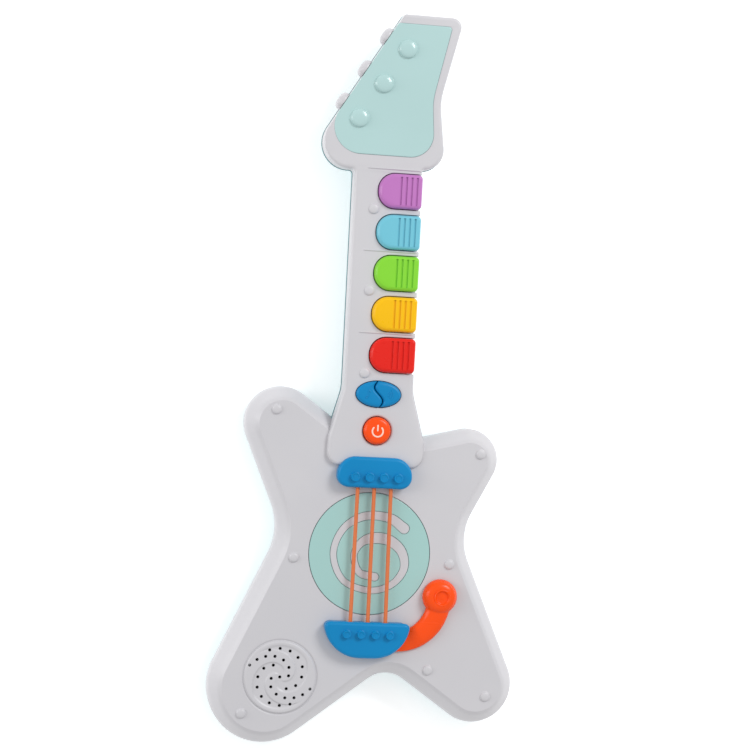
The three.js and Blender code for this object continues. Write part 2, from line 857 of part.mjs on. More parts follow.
function ribbonCable() {
  const route = [
    [78, neckBoardTop + 0.4],
    [66, neckBoardTop + 1.6],
    [52, boardTop + 2.4],
    [36, boardTop + 0.4],
  ];
  const thick = 0.7;
  const side = [...route, ...route.map(([y, z]) => [y, z + thick]).reverse()];
  const shape = new THREE.Shape(side.map(([y, z]) => new THREE.Vector2(y, z)));
  const flat = new THREE.ExtrudeGeometry(shape, { depth: 10, bevelEnabled: false });
  flat.rotateX(Math.PI / 2).rotateZ(Math.PI / 2);
  return solid(flat).translate([-5, 0, 0]);
}

// ---- batteries ----
const batteryYs = [-1, 0, 1].map((k) => bay.y + k * 15.4);

function battery(y, side) {
  const half = batteryLength / 2;
  const shape = [
    [0, -half],
    [batteryRadius, -half],
    [batteryRadius, half - 1.2],
    [2.7, half - 1.2],
    [2.7, half],
    [0, half],
  ];
  const cell = turned(shape, 0, 0, 18).rotate([0, side * 90, 0]);
  return cell.translate([bay.x, y, 2.6 + batteryRadius]);
}

function contactPlate(side, y0, y1) {
  const near = bay.x + side * (bay.length / 2 - 0.3);
  const x = [near, near - side * 0.6].sort((a, b) => a - b);
  const plate = block(x[0], x[1], y0, y1, 4, 15.6);
  const springs = batteryYs
    .filter((y) => y > y0 && y < y1)
    .map((y) => {
      const cone = turned(
        [
          [0, 0],
          [4, 0],
          [2.4, 3.7],
          [0, 3.7],
        ],
        0,
        0,
        10,
      );
      return cone.rotate([0, -side * 90, 0]).translate([near - side * 0.3, y, 2.6 + batteryRadius]);
    });
  return join(plate, ...springs);
}

function caseScrew([x, y], headTop, tip) {
  const shape = [
    [0, headTop - 2.2],
    [3.1, headTop - 2.2],
    [3.1, headTop],
    [1.4, headTop],
    [1.4, tip - 1.5],
    [0, tip],
  ];
  return turned(shape, x, y, 10);
}

// The door's screw is captive: its neck runs in the door and its thread in the latch post.
function doorScrew() {
  const shape = [
    [0, 0.3],
    [1.3, 0.3],
    [1.3, 4.2],
    [0, 5],
  ];
  const head = rod(...lugAt, 3.2, 0.3, 1.1, 12);
  return join(head, turned(shape, ...lugAt, 10));
}

// ---- the pieces ----
piece("body_front", bodyFront(), "white");
piece("body_back", bodyBack(), "teal");
piece("neck_front", neckFront(), "white");
piece("neck_back", neckBack(), "teal");
piece("headstock_plate", headstockPlate(), "aqua");
knobSpots.forEach((spot, i) => piece(`tuner_knob_${i + 1}`, tunerKnob(spot), "white"));

const soundDisc = rod(0, 0, discRadius, discBottom, bodyFace + 0.1, 40);
piece("sound_disc", cut(soundDisc, spiralBand(bodyFace - 1.2, bodyFace + 1, gap)), "aqua");
piece("spiral_trim", spiralBand(bodyFace - 0.9, bodyFace + 0.2), "white");

piece("upper_bridge", upperBridge(), "blue");
piece("lower_bridge", lowerBridge(), "blue");
strings.forEach(({ name, low, high }) => {
  const from = new THREE.Vector2(low, stringLow);
  const to = new THREE.Vector2(high, stringHigh);
  const middle = from.clone().add(to).multiplyScalar(0.5);
  const along = to.clone().sub(from).normalize();
  const below = middle.clone().addScaledVector(along, -gap / 2);
  const above = middle.clone().addScaledVector(along, gap / 2);
  piece(`string_${name}_lower`, stringHalf(from, below), "cord");
  piece(`string_${name}_upper`, stringHalf(above, to), "cord");
});

["purple", "sky", "green", "yellow", "red"].forEach((color, i) =>
  piece(`key_${color}`, keyCap(keyYs[i]), color),
);
piece("mode_button_left", ovalHalf(-1), "blue");
piece("mode_button_right", ovalHalf(1), "blue");
piece("power_button", powerButton(), "orange");
piece("whammy_lever", whammyLever(), "orange");
piece("lever_screw", leverScrew(), "steel");

piece("speaker_frame", speakerFrame(), "steel");
piece("speaker_cone", speakerCone(), "black");
piece("speaker_magnet", rod(speaker.x, speaker.y, 11, 13.6, 21, 20), "steel");
piece("main_board", mainBoard(), "board");
piece("neck_board", neckBoard(), "board");
const keyPadOutline = [
  [17, 124, 2],
  [17, 256, 2],
  [-8, 256, 2],
  [-8, 124, 2],
];
const buttonPadOutline = [
  [7, 80, 2],
  [7, 116, 2],
  [-7, 116, 2],
  [-7, 80, 2],
];
const keySpots = keyYs.map((y) => [keyContactX, y]);
const buttonSpots = [powerAt, [ovalAt[0] - 5.5, ovalAt[1]], [ovalAt[0] + 5.5, ovalAt[1]]];
piece("key_contact_pad", contactPad(keyPadOutline, keySpots), "silicone");
piece("button_contact_pad", contactPad(buttonPadOutline, buttonSpots), "silicone");
piece("ribbon_cable", ribbonCable(), "black");
const lights = [
  [-16, 14],
  [16, 14],
  [0, 30],
];
lights.forEach(([x, y], i) =>
  piece(
    `light_${i + 1}`,
    join(
      rod(x, y, 2.5, boardTop + gap, boardTop + 3.6, 8),
      dome(x, y, 2.5, boardTop + 3.6, 2, 8),
    ),
    "lens",
  ),
);
const wireStart = -46;
[-1, 1].forEach((side, i) => {
  const x = speaker.x + side * 3;
  const route = [
    [wireStart + side * 2, 6, boardTop + 1.5],
    [wireStart + side * 2 - 3, -20, boardTop + 2.5],
    [x + 2, -44, boardTop + 1],
    [x, speaker.y + speaker.radius + 3.6, 20],
    [x, speaker.y + 14, 14.6],
  ];
  piece(`speaker_wire_${i + 1}`, wire(route, 0.7), side < 0 ? "red" : "black");
});

const screwSeat = join(rod(...lugAt, 1.65, -1, 5, 10), rod(...lugAt, 3.6, -1, 1.4, 12));
piece("battery_door", doorSolid().subtract(screwSeat), "teal");
piece("door_screw", doorScrew(), "steel");
batteryYs.forEach((y, i) => piece(`battery_${i + 1}`, battery(y, i % 2 ? -1 : 1), "cell"));
const bayHalf = bay.width / 2 - 0.6;
piece("contact_single_left", contactPlate(-1, bay.y - bayHalf, bay.y - 8.4), "steel");
piece("contact_pair_left", contactPlate(-1, bay.y - 7, bay.y + bayHalf), "steel");
piece("contact_pair_right", contactPlate(1, bay.y - bayHalf, bay.y + 7), "steel");
piece("contact_single_right", contactPlate(1, bay.y + 8.4, bay.y + bayHalf), "steel");
caseScrews.forEach((spot, i) => piece(`case_screw_${i + 1}`, caseScrew(spot, 6, 24), "steel"));
tangScrews.forEach((spot, i) => piece(`tang_screw_${i + 1}`, caseScrew(spot, 6, 22.6), "steel"));
neckScrews.forEach((spot, i) => piece(`neck_screw_${i + 1}`, caseScrew(spot, 20, 33), "steel"));

// ---- group placing ----
const box = new THREE.Box3().setFromObject(guitar);
guitar.position.set(-(box.min.x + box.max.x) / 2, -(box.min.y + box.max.y) / 2, -box.min.z);

export default guitar;
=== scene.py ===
# A toy electric guitar lying on its back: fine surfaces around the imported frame, their finishes, the floor,
# the lights and the camera.
# Lengths here are millimetres measured from the middle of the sound disc, with heights above the floor;
# addPiece turns them into metres.
import math

import bmesh
import bpy
import numpy as np
from mathutils import Matrix, Vector
from mathutils.geometry import delaunay_2d_cdt, tessellate_polygon


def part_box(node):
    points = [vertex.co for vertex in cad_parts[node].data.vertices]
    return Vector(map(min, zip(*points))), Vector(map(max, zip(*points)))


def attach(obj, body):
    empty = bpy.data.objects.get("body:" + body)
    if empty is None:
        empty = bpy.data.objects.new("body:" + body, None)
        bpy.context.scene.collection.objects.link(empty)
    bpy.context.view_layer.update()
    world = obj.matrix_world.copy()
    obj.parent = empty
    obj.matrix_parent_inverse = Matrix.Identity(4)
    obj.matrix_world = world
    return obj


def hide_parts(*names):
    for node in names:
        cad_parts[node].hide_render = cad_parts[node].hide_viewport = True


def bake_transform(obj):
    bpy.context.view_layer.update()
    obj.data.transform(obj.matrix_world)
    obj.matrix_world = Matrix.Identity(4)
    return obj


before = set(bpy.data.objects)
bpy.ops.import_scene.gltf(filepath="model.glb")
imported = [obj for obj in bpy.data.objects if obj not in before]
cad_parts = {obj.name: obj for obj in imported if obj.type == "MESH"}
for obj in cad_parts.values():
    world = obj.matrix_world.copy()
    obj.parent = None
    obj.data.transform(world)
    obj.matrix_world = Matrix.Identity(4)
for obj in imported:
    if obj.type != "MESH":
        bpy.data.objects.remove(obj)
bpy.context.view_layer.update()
mm = 0.001
seam = 0.12  # between the headstock plate and its seat


# The middle, lowest and highest corner of a node's box, measured from home.
def placeOf(node, home=(0, 0, 0)):
    low, high = (np.array(corner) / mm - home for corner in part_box(node))
    return (low + high) / 2, low, high


home = placeOf("sound_disc")[0] * [1, 1, 0]


# ---- surfaces ----
# A part is its points and a list of face tables. Parts that touch are welded when the piece is made.
def joined(*parts):
    points, faces, count = [], [], 0
    for somePoints, someFaces in parts:
        points.append(somePoints)
        faces += [table + count for table in someFaces]
        count += len(somePoints)
    return np.vstack(points), faces


# A closed outline from corners [x, y, radius], anticlockwise, moved in by an inset that may differ from edge
# to edge (the edge that starts at each corner).
# The moved corner is corner + (after * insetBefore - before * insetAfter) / sin(turn), and its arc starts
# radius * tan(turn / 2) before it.
def ring(corners, inset=0.0, density=2.4):
    table = np.array(corners, float)
    corner, radius = table[:, :2], table[:, 2]
    insetAfter = np.broadcast_to(inset, len(table)).astype(float)
    insetBefore = np.roll(insetAfter, 1)
    after = np.roll(corner, -1, 0) - corner
    after /= np.linalg.norm(after, axis=1)[:, None]
    before = np.roll(after, 1, 0)
    sine = before[:, 0] * after[:, 1] - before[:, 1] * after[:, 0]
    turn = np.arctan2(sine, (before * after).sum(1))
    moved = corner + (after * insetBefore[:, None] - before * insetAfter[:, None]) / sine[:, None]
    side = np.sign(turn)
    arc = np.maximum(radius - side * (insetBefore + insetAfter) / 2, 0.04)
    start = moved - before * (arc * np.tan(np.abs(turn) / 2))[:, None]
    centre = start + np.stack([-before[:, 1], before[:, 0]], 1) * (arc * side)[:, None]
    steps = np.clip(np.ceil(np.abs(turn) * np.sqrt(np.maximum(radius, 1)) * density), 3, 48).astype(int)
    which = np.repeat(np.arange(len(table)), steps + 1)
    first = np.repeat(np.cumsum(steps + 1) - steps - 1, steps + 1)
    angle = turn[which] * (np.arange(len(which)) - first) / steps[which]
    arm = (start - centre)[which]
    cosine, swing = np.cos(angle)[:, None], np.sin(angle)[:, None]
    return centre[which] + arm * cosine + np.stack([-arm[:, 1], arm[:, 0]], 1) * swing


def circle(x, y, radius, sides=48):
    angle = np.arange(sides) * 2 * math.pi / sides
    return np.stack([x + radius * np.cos(angle), y + radius * np.sin(angle)], 1)


# Each stretch of an outline split into equal pieces, a + (b - a) * k / pieces; pieces is one number, or one
# for each stretch.
def divided(outline, pieces):
    pieces = np.broadcast_to(pieces, len(outline))
    which = np.repeat(np.arange(len(outline)), pieces)
    step = np.arange(len(which)) - np.repeat(np.cumsum(pieces) - pieces, pieces)
    share = (step / pieces[which])[:, None]
    return outline[which] * (1 - share) + np.roll(outline, -1, 0)[which] * share


# An open line with each inner corner replaced by the parabola (1-t)^2 a + 2t(1-t) corner + t^2 b.
def softened(path, reach=1.0, steps=5):
    path = np.array(path, float)
    corner = path[1:-1]
    reach = np.resize(np.array(reach, float), len(corner))[:, None]
    toBefore, toAfter = path[:-2] - corner, path[2:] - corner
    a = corner + toBefore * np.minimum(reach / np.linalg.norm(toBefore, axis=1)[:, None], 0.48)
    b = corner + toAfter * np.minimum(reach / np.linalg.norm(toAfter, axis=1)[:, None], 0.48)
    t = np.linspace(0, 1, steps + 1)[None, :, None]
    curve = (1 - t) ** 2 * a[:, None] + 2 * t * (1 - t) * corner[:, None] + t**2 * b[:, None]
    return np.vstack([path[:1], curve.reshape(-1, 2), path[-1:]])


# A skin through a table of points [level, place], closed round its places: face (i, j) joins places j and j +
# 1 of levels i and i + 1.
def skin(table):
    levels, count = table.shape[:2]
    here = np.arange(levels - 1)[:, None] * count + np.arange(count)
    there = np.arange(levels - 1)[:, None] * count + (np.arange(count) + 1) % count
    quads = np.stack([here, there, there + count, here + count], -1).reshape(-1, 4)
    return table.reshape(-1, 3), [quads]


def lifted(outline, height):
    return np.column_stack([outline, np.broadcast_to(height, len(outline))])


def loft(rings, heights):
    return skin(np.stack([lifted(outline, height) for outline, height in zip(rings, heights)]))


# A flat face inside an outline, around its holes.
def cap(outline, height, holes=()):
    loops = [lifted(loop, 0.0) for loop in (outline, *holes)]
    triangles = np.array(tessellate_polygon([loop.tolist() for loop in loops]), int)
    return np.vstack(loops) + [0, 0, height], [triangles]


# The wall of a hole, whose outline is a function of how much it grows: path is [height, growth] from the rim
# inwards.
def well(shape, path, floor=False):
    part = loft([shape(grow) for _, grow in path], [height for height, _ in path])
    return joined(part, cap(shape(path[-1][1]), path[-1][0])) if floor else part


# A moulding: path is [height, inset] from its first flat face, over its walls, to its last. Holes go through
# both faces, and each is a shape and its own path.
def moulding(outline, path, holes=(), pockets=(), weights=1.0, density=2.4):
    rings = [ring(outline, inset * np.array(weights), density) for _, inset in path]
    walls = [well(shape, line) for shape, line in holes]
    hollows = [well(shape, line, True) for shape, line in pockets]
    first = [shape(line[-1][1]) for shape, line in holes]
    last = [shape(line[0][1]) for shape, line in (*holes, *pockets)]
    return joined(
        loft(rings, [height for height, _ in path]),
        cap(rings[0], path[0][0], first),
        cap(rings[-1], path[-1][0], last),
        *walls,
        *hollows,
    )


# A profile [radius, height] turned about an upright line: (x + r cos a, y + r sin a, h).
def turned(profile, x=0.0, y=0.0, sides=48):
    profile = np.array(profile, float)
    angle = np.arange(sides) * 2 * math.pi / sides
    across = profile[:, :1] * np.stack([np.cos(angle), np.sin(angle)])[:, None, :]
    table = np.stack([x + across[0], y + across[1], np.broadcast_to(profile[:, 1:], across[0].shape)], -1)
    return skin(table)


# A soft dome on a face: its side leaves the face in a flare and ends flat on top.
def dome(x, y, radius, face, height, sides=40):
    t = np.linspace(0, 1, 12)
    flare = np.stack(
        [radius * (1.22 - 0.22 * np.sin(t * math.pi / 2)), face - 0.05 + height * 0.35 * t**2], 1
    )
    bend = t[1:] * math.pi / 2
    crown = np.stack([radius * np.cos(bend) ** 0.8, face - 0.05 + height * (0.35 + 0.65 * np.sin(bend))], 1)
    return turned(np.vstack([[0, face - 0.6], [radius * 1.22, face - 0.6], flare, crown]), x, y, sides)


# Points of a part turned about an upright line by degrees, then moved.
def swung(part, degrees, x=0.0, y=0.0):
    angle = math.radians(degrees)
    spin = np.array(
        [[math.cos(angle), math.sin(angle), 0], [-math.sin(angle), math.cos(angle), 0], [0, 0, 1]]
    )
    return part[0] @ spin + [x, y, 0], part[1]


# Points of a part laid down, so that what stood along Z runs along X.
def laid(part):
    return part[0] @ np.array([[0, 0, -1], [0, 1, 0], [1, 0, 0]]), part[1]


# Smooth shading that breaks at sharp edges and stays even over large faces.
def shaded(piece, sharp=32):
    piece.data.shade_smooth()
    piece.data.set_sharp_from_angle(angle=math.radians(sharp))
    weighted = piece.modifiers.new("even shading", "WEIGHTED_NORMAL")
    weighted.keep_sharp = True


def addPiece(name, part, material, body="guitar", stands=(), sharp=32, weld=0.002):
    points, faces = part
    mesh = bpy.data.meshes.new(name)
    mesh.from_pydata(
        ((points + home) * mm).tolist(), [], [face for table in faces for face in table.tolist()]
    )
    shape = bmesh.new()
    shape.from_mesh(mesh)
    bmesh.ops.remove_doubles(shape, verts=shape.verts, dist=weld * mm)
    bmesh.ops.dissolve_degenerate(shape, edges=shape.edges, dist=weld * mm * 0.5)
    bmesh.ops.recalc_face_normals(shape, faces=shape.faces)
    shape.to_mesh(mesh)
    shape.free()
    mesh.materials.append(material)
    piece = bpy.data.objects.new(name, mesh)
    bpy.context.scene.collection.objects.link(piece)
    shaded(piece, sharp)
    if body:
        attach(piece, body)
    if stands:
        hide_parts(*stands)
    return piece


# A piece whose modifiers have become part of its mesh.
def settle(piece):
    bpy.context.view_layer.update()
    made = bpy.data.meshes.new_from_object(piece.evaluated_get(bpy.context.evaluated_depsgraph_get()))
    piece.modifiers.clear()
    piece.data = made


# A piece with turned bores cut out of it, each [x, y, radius, low, high].
def bore(piece, bores, sharp=32):
    parts = [
        turned([[0, low], [radius, low], [radius, high], [0, high]], x, y, 40)
        for x, y, radius, low, high in bores
    ]
    cutter = addPiece(piece.name + "_bores", joined(*parts), piece.data.materials[0], body=None)
    piece.modifiers.clear()
    opening = piece.modifiers.new("bores", "BOOLEAN")
    opening.object, opening.solver = cutter, "MANIFOLD"
    settle(piece)
    shaded(piece, sharp)
    bpy.data.objects.remove(cutter)


# ---- finishes ----
# A shader value: sums and products of it are Math nodes.
class Term:
    def __init__(self, sheet, socket):
        self.sheet, self.socket = sheet, socket

    def maths(self, operation, *others):
        inputs = dict(enumerate((self, *others)))
        return self.sheet.term("ShaderNodeMath", {"operation": operation}, inputs)

    def __add__(self, other):
        return self.maths("ADD", other)

    def __radd__(self, other):
        return self.maths("ADD", other)

    def __sub__(self, other):
        return self.maths("SUBTRACT", other)

    def __rsub__(self, other):
        return self.maths("MULTIPLY_ADD", -1, other)

    def __mul__(self, other):
        return self.maths("MULTIPLY", other)

    def __rmul__(self, other):
        return self.maths("MULTIPLY", other)


# One material's node sheet, with one way to add any node.
class Sheet:
    def __init__(self, name):
        self.material = bpy.data.materials.new(name)
        self.material.use_nodes = True
        self.nodes, self.links = self.material.node_tree.nodes, self.material.node_tree.links
        self.nodes.clear()
        self.place = self.node("ShaderNodeTexCoord").outputs["Object"]

    def node(self, kind, settings=None, inputs=None):
        node = self.nodes.new(kind)
        for key, value in (settings or {}).items():
            if key == "stops":
                for element, (position, colour) in zip(node.color_ramp.elements, value):
                    element.position, element.color = position, colour
            else:
                setattr(node, key, value)
        for key, value in (inputs or {}).items():
            if isinstance(value, Term):
                value = value.socket
            if isinstance(value, bpy.types.NodeSocket):
                self.links.new(value, node.inputs[key])
            else:
                node.inputs[key].default_value = value
        return node

    def term(self, kind, settings=None, inputs=None, output=0):
        return Term(self, self.node(kind, settings, inputs).outputs[output])

    def noise(self, scale, detail=2.0, stretch=(1, 1, 1), roughness=0.5):
        place = self.node("ShaderNodeMapping", None, {"Vector": self.place, "Scale": stretch}).outputs[0]
        inputs = {"Vector": place, "Scale": scale, "Detail": detail, "Roughness": roughness}
        return self.term("ShaderNodeTexNoise", {"noise_dimensions": "3D"}, inputs)

    # Runs from 0 to 1 as a value goes from one level to another.
    def band(self, value, low, high):
        inputs = {0: value, 1: low, 2: high, 3: 0.0, 4: 1.0}
        return self.term("ShaderNodeMapRange", {"interpolation_type": "SMOOTHSTEP"}, inputs)

    def blend(self, share, first, second):
        inputs = {0: share, 6: first, 7: second}
        return self.node("ShaderNodeMix", {"data_type": "RGBA"}, inputs).outputs[2]

    def finish(self, shader):
        self.node("ShaderNodeOutputMaterial", None, {"Surface": shader})
        return self.material


# An sRGB colour, 0 to 255, as linear light.
def light(colour, lift=1.0):
    share = np.array(colour, float) / 255
    linear = np.where(share <= 0.04045, share / 12.92, ((share + 0.055) / 1.055) ** 2.4)
    return (*np.clip(linear * lift, 0, 1).tolist(), 1.0)


# Moulded plastic: slow drift of tone, a fine spark-eroded grain, faint hairline wipes in the gloss.
def plastic(
    name, colour, rough=0.35, grain=0.02, drift=0.05, coat=0.0, cooler=(1, 1, 1), specular=0.5, ripple=0.0
):
    sheet = Sheet(name)
    cloud = sheet.band(sheet.noise(11, 3), 0.3, 0.7)
    fleck = sheet.noise(420, 2)
    wipes = sheet.band(sheet.noise(30, 4, (1, 9, 3)), 0.52, 0.75)
    pores = sheet.noise(2300, 2)
    base = np.array(light(colour)[:3])
    dark = (*(base * (1 - drift) * cooler).tolist(), 1.0)
    pale = (*np.clip(base * (1 + drift * 0.4), 0, 1).tolist(), 1.0)
    tone = sheet.blend(cloud * 0.8 + fleck * 0.2, dark, pale)
    gloss = rough + (cloud - 0.5) * 0.05 + wipes * 0.07 + (fleck - 0.5) * 0.06
    height = pores * grain + fleck * grain * 0.8 + sheet.noise(60, 1) * ripple
    bump = sheet.node("ShaderNodeBump", None, {"Strength": 0.5, "Distance": mm, "Height": height})
    shader = sheet.node(
        "ShaderNodeBsdfPrincipled",
        None,
        {
            "Base Color": tone, "Roughness": gloss, "Normal": bump.outputs[0], "Coat Weight": coat,
            "Coat Roughness": 0.08, "Specular IOR Level": specular
        },
    )
    return sheet.finish(shader.outputs[0])


# Pressed or turned metal: fine brushing lines and small stains.
def metal(name, colour, rough=0.3, brushed=(1, 1, 30)):
    sheet = Sheet(name)
    lines = sheet.noise(260, 3, brushed)
    stain = sheet.band(sheet.noise(40, 4), 0.45, 0.7)
    base = np.array(light(colour)[:3])
    tone = sheet.blend(stain, (*base.tolist(), 1.0), (*(base * 0.7).tolist(), 1.0))
    bump = sheet.node("ShaderNodeBump", None, {"Strength": 0.4, "Distance": mm, "Height": lines * 0.02})
    inputs = {
        "Base Color": tone, "Metallic": 1.0, "Roughness": rough + lines * 0.12 + stain * 0.1,
        "Normal": bump.outputs[0]
    }
    return sheet.finish(sheet.node("ShaderNodeBsdfPrincipled", None, inputs).outputs[0])


# Rubber or paper: a dull, fibrous surface.
def fibrous(name, colour, rough=0.75, scale=900, depth=0.05, stretch=(1, 1, 1)):
    sheet = Sheet(name)
    fibres = sheet.noise(scale, 4, stretch)
    cloud = sheet.noise(60, 3)
    base = np.array(light(colour)[:3])
    tone = sheet.blend(
        fibres * 0.6 + cloud * 0.4, (*(base * 0.86).tolist(), 1.0),
        (*np.clip(base * 1.08, 0, 1).tolist(), 1.0)
    )
    bump = sheet.node("ShaderNodeBump", None, {"Strength": 0.6, "Distance": mm, "Height": fibres * depth})
    inputs = {"Base Color": tone, "Roughness": rough + (cloud - 0.5) * 0.1, "Normal": bump.outputs[0]}
    return sheet.finish(sheet.node("ShaderNodeBsdfPrincipled", None, inputs).outputs[0])


# A printed circuit board: copper tracks under green lacquer, on a square lattice.
def circuit(name, colour):
    sheet = Sheet(name)
    cells = sheet.node(
        "ShaderNodeTexVoronoi", {"distance": "CHEBYCHEV", "feature": "F1"},
        {"Vector": sheet.place, "Scale": 260.0}
    )
    tracks = sheet.band(Term(sheet, cells.outputs["Distance"]), 0.3, 0.36)
    base = np.array(light(colour)[:3])
    tone = sheet.blend(tracks, (*(base * 1.5).tolist(), 1.0), (*(base * 0.8).tolist(), 1.0))
    bump = sheet.node("ShaderNodeBump", None, {"Strength": 0.5, "Distance": mm, "Height": tracks * -0.05})
    inputs = {"Base Color": tone, "Roughness": 0.3 + tracks * 0.15, "Normal": bump.outputs[0]}
    return sheet.finish(sheet.node("ShaderNodeBsdfPrincipled", None, inputs).outputs[0])


finishes = {
    "white_shell": plastic(
        "white shell", (205, 204, 208), rough=0.36, grain=0.012, drift=0.025, cooler=(0.99, 0.995, 1.0)
    ),
    # The back shell's colour is a real aqua-teal darkened with painted shade: it is the tone the back shows
    # where it lies in shade, much darker than the lit aqua plate.
    "teal_shell": plastic("teal shell with painted shade", (118, 166, 172), rough=0.38, grain=0.02, drift=0.06),
    "aqua_plate": plastic("aqua plate", (178, 211, 210), rough=0.2, grain=0.006, drift=0.03, coat=0.25),
    "aqua_window": plastic(
        "aqua window", (164, 205, 201), rough=0.16, grain=0.004, drift=0.03, coat=0.3, ripple=0.1
    ),
    "blue_plastic": plastic("blue plastic", (8, 134, 194), rough=0.34, grain=0.01, drift=0.06, specular=0.22),
    "orange_plastic": plastic(
        "orange plastic", (255, 80, 8), rough=0.24, grain=0.006, drift=0.05, specular=0.3
    ),
    "string_rubber": fibrous(
        "string rubber", (222, 118, 66), rough=0.55, scale=700, depth=0.03, stretch=(1, 0.3, 1)
    ),
    "key_purple_plastic": plastic(
        "purple plastic", (190, 118, 190), rough=0.28, grain=0.01, coat=0.1, specular=0.4
    ),
    "key_sky_plastic": plastic(
        "sky plastic", (112, 194, 214), rough=0.28, grain=0.01, coat=0.1, specular=0.4
    ),
    "key_green_plastic": plastic(
        "green plastic", (132, 214, 52), rough=0.28, grain=0.01, coat=0.05, specular=0.35
    ),
    "key_yellow_plastic": plastic("yellow plastic", (246, 190, 6), rough=0.28, grain=0.01, specular=0.28),
    "key_red_plastic": plastic("red plastic", (230, 36, 26), rough=0.28, grain=0.01, specular=0.24),
    "icon_print": plastic("icon print", (255, 214, 196), rough=0.4, grain=0.01),
    "screw_steel": metal("screw steel", (190, 192, 196), 0.28, (1, 1, 1)),
    "speaker_steel": metal("speaker steel", (176, 178, 180), 0.35),
    "speaker_magnet_iron": metal("speaker magnet iron", (96, 97, 100), 0.5),
    "speaker_paper": fibrous("speaker paper", (26, 26, 28), rough=0.8, scale=500, depth=0.06),
    "circuit_board": circuit("circuit board", (24, 112, 62)),
    "contact_silicone": fibrous("contact silicone", (196, 196, 190), rough=0.7, scale=300, depth=0.02),
    "light_lens": plastic("light lens", (244, 244, 238), rough=0.12, grain=0.002, coat=0.4),
    "ribbon": fibrous("ribbon", (120, 122, 126), rough=0.5, scale=300, depth=0.05, stretch=(6, 1, 1)),
    "wire_red": fibrous("wire red", (190, 30, 28), rough=0.45, scale=400, depth=0.02),
    "wire_black": fibrous("wire black", (24, 24, 26), rough=0.45, scale=400, depth=0.02),
    "battery_cell": plastic("battery cell", (58, 72, 112), rough=0.3, grain=0.006, coat=0.4),
    "contact_steel": metal("contact steel", (200, 200, 196), 0.22, (1, 30, 1)),
}
print("finishes made")

# ---- body shells ----
bodyStyle = {
    "outline": [
        [-20, 86, 2],
        [-123.7, 158.7, 25.3],
        [-60.7, 13.2, 41.4],
        [-167.7, -222.1, 38.9],
        [17.6, -78.7, 20.2],
        [144.4, -167.2, 27.3],
        [64.3, 13.7, 39.4],
        [108.1, 100.3, 21.6],
        [47.5, 84.7, 60.6],
        [20, 78, 2],
    ],
    "parting": 13.0,
    "face": 34.0,
    "edge": [[13, 0], [13.4, 0], [21.5, 0], [24.6, 1.1], [32.2, 6.9], [34, 9.4]],
    "edgeReach": [0.1, 1.5, 2.2, 2.2],
    "wall": 2.2,
    "studs": [
        [-69.4, 96.2], [-52.3, -4.6], [-82.7, -112.4], [74.3, 72.1], [56.3, -5.2], [45, -79], [86.7, -96]
    ],
    "studRadius": 3.3,
    "studHeight": 1.9,
    "discOpening": 42.35,
}
speaker = placeOf("speaker_frame", home)[0]
speakerStyle = {
    "hole": 1.08, "patch": 27.0, "relief": 0.8, "step": 0.5, "rimFrom": 21.6, "rimTo": 24.6, "moat": 0.7
}


# The grille's holes: two spiral arms, each repeated half a turn round, and one in the middle.
def grillePlaces():
    a, b = np.arange(7), np.arange(8)
    radius = np.concatenate([22.5 - 2.45 * a - 0.05 * a**2, 20 - 0.42 * b - 0.0226 * b**3])
    angle = np.radians(
        np.concatenate([160.3 - 15.2 * a - 0.2 * a**2 - 0.24 * a**3, 113.5 - 21.2 * b - 0.0098 * b**4])
    )
    arm = np.stack([radius * np.cos(angle), radius * np.sin(angle)], 1)
    return np.vstack([[0, 0], arm, -arm])


# The grille's relief: a raised rim, and two raised commas whose edges follow the spiral arms.
def grilleRelief(x, y):
    radius, angle = np.hypot(x, y), np.arctan2(y, x)
    phase = 2 * (angle - np.radians(160.6 - 9.6 * (22.2 - radius) - 28))
    comma = 1 / (1 + np.exp(-np.sin(phase) * radius * 0.8 / speakerStyle["step"]))
    style = speakerStyle
    rim = 1 / (1 + np.exp(-(radius - style["rimFrom"]) / 0.35))
    outside = 1 / (1 + np.exp((radius - style["rimTo"]) / 0.22))
    moat = np.exp(-(((radius - style["rimTo"] - 0.75) / 0.5) ** 2)) * style["moat"]
    return style["relief"] * outside * np.maximum(rim, comma * np.clip(radius / 4, 0, 1)) - moat


def grillePatch(face):
    places, hole, edge = grillePlaces(), speakerStyle["hole"], speakerStyle["patch"]
    radii = np.arange(0.35, edge - 0.3, 0.45)
    counts = np.ceil(radii * 2 * math.pi / 0.5).astype(int)
    which = np.repeat(np.arange(len(radii)), counts)
    angle = (
        np.arange(len(which)) - np.repeat(np.cumsum(counts) - counts, counts)
    ) * 2 * math.pi / counts[which]
    loose = radii[which][:, None] * np.stack([np.cos(angle), np.sin(angle)], 1)
    clear = np.hypot(*(loose[:, None] - places[None]).transpose(2, 0, 1)).min(1) > hole + 0.45
    rounds = [circle(x, y, hole + 0.18, 20) for x, y in places]
    border = circle(0, 0, edge, 160)
    flat = np.vstack([border, *rounds, loose[clear]])
    rings = [(0, 160)] + [(160 + 20 * k, 20) for k in range(len(places))]
    edges = np.vstack(
        [np.stack([first + np.arange(n), first + (np.arange(n) + 1) % n], 1) for first, n in rings]
    )
    made = delaunay_2d_cdt([Vector(p) for p in flat.tolist()], edges.tolist(), [], 0, 1e-6)
    spots, triangles = np.array(made[0]), np.array(made[2])
    middle = spots[triangles].mean(1)
    solid = np.hypot(*(middle[:, None] - places[None]).transpose(2, 0, 1)).min(1) > hole + 0.15
    height = face + grilleRelief(spots[:, 0], spots[:, 1])
    top = np.column_stack([spots, height]), [triangles[solid]]
    shapes = [lambda grow, x=x, y=y: circle(x, y, hole + grow, 20) for x, y in places]
    walls = []
    for shape in shapes:
        rim = shape(0.18)
        level = face + grilleRelief(rim[:, 0], rim[:, 1])
        walls.append(
            loft([rim, shape(0.04), shape(0.0), shape(0.0)], [level, level - 0.08, level - 0.3, face - 2.2])
        )
    floor = cap(border, face - 2.2, [shape(0.0) for shape in shapes])
    part = joined(top, floor, *walls)
    return part[0] + [speaker[0], speaker[1], 0], part[1]


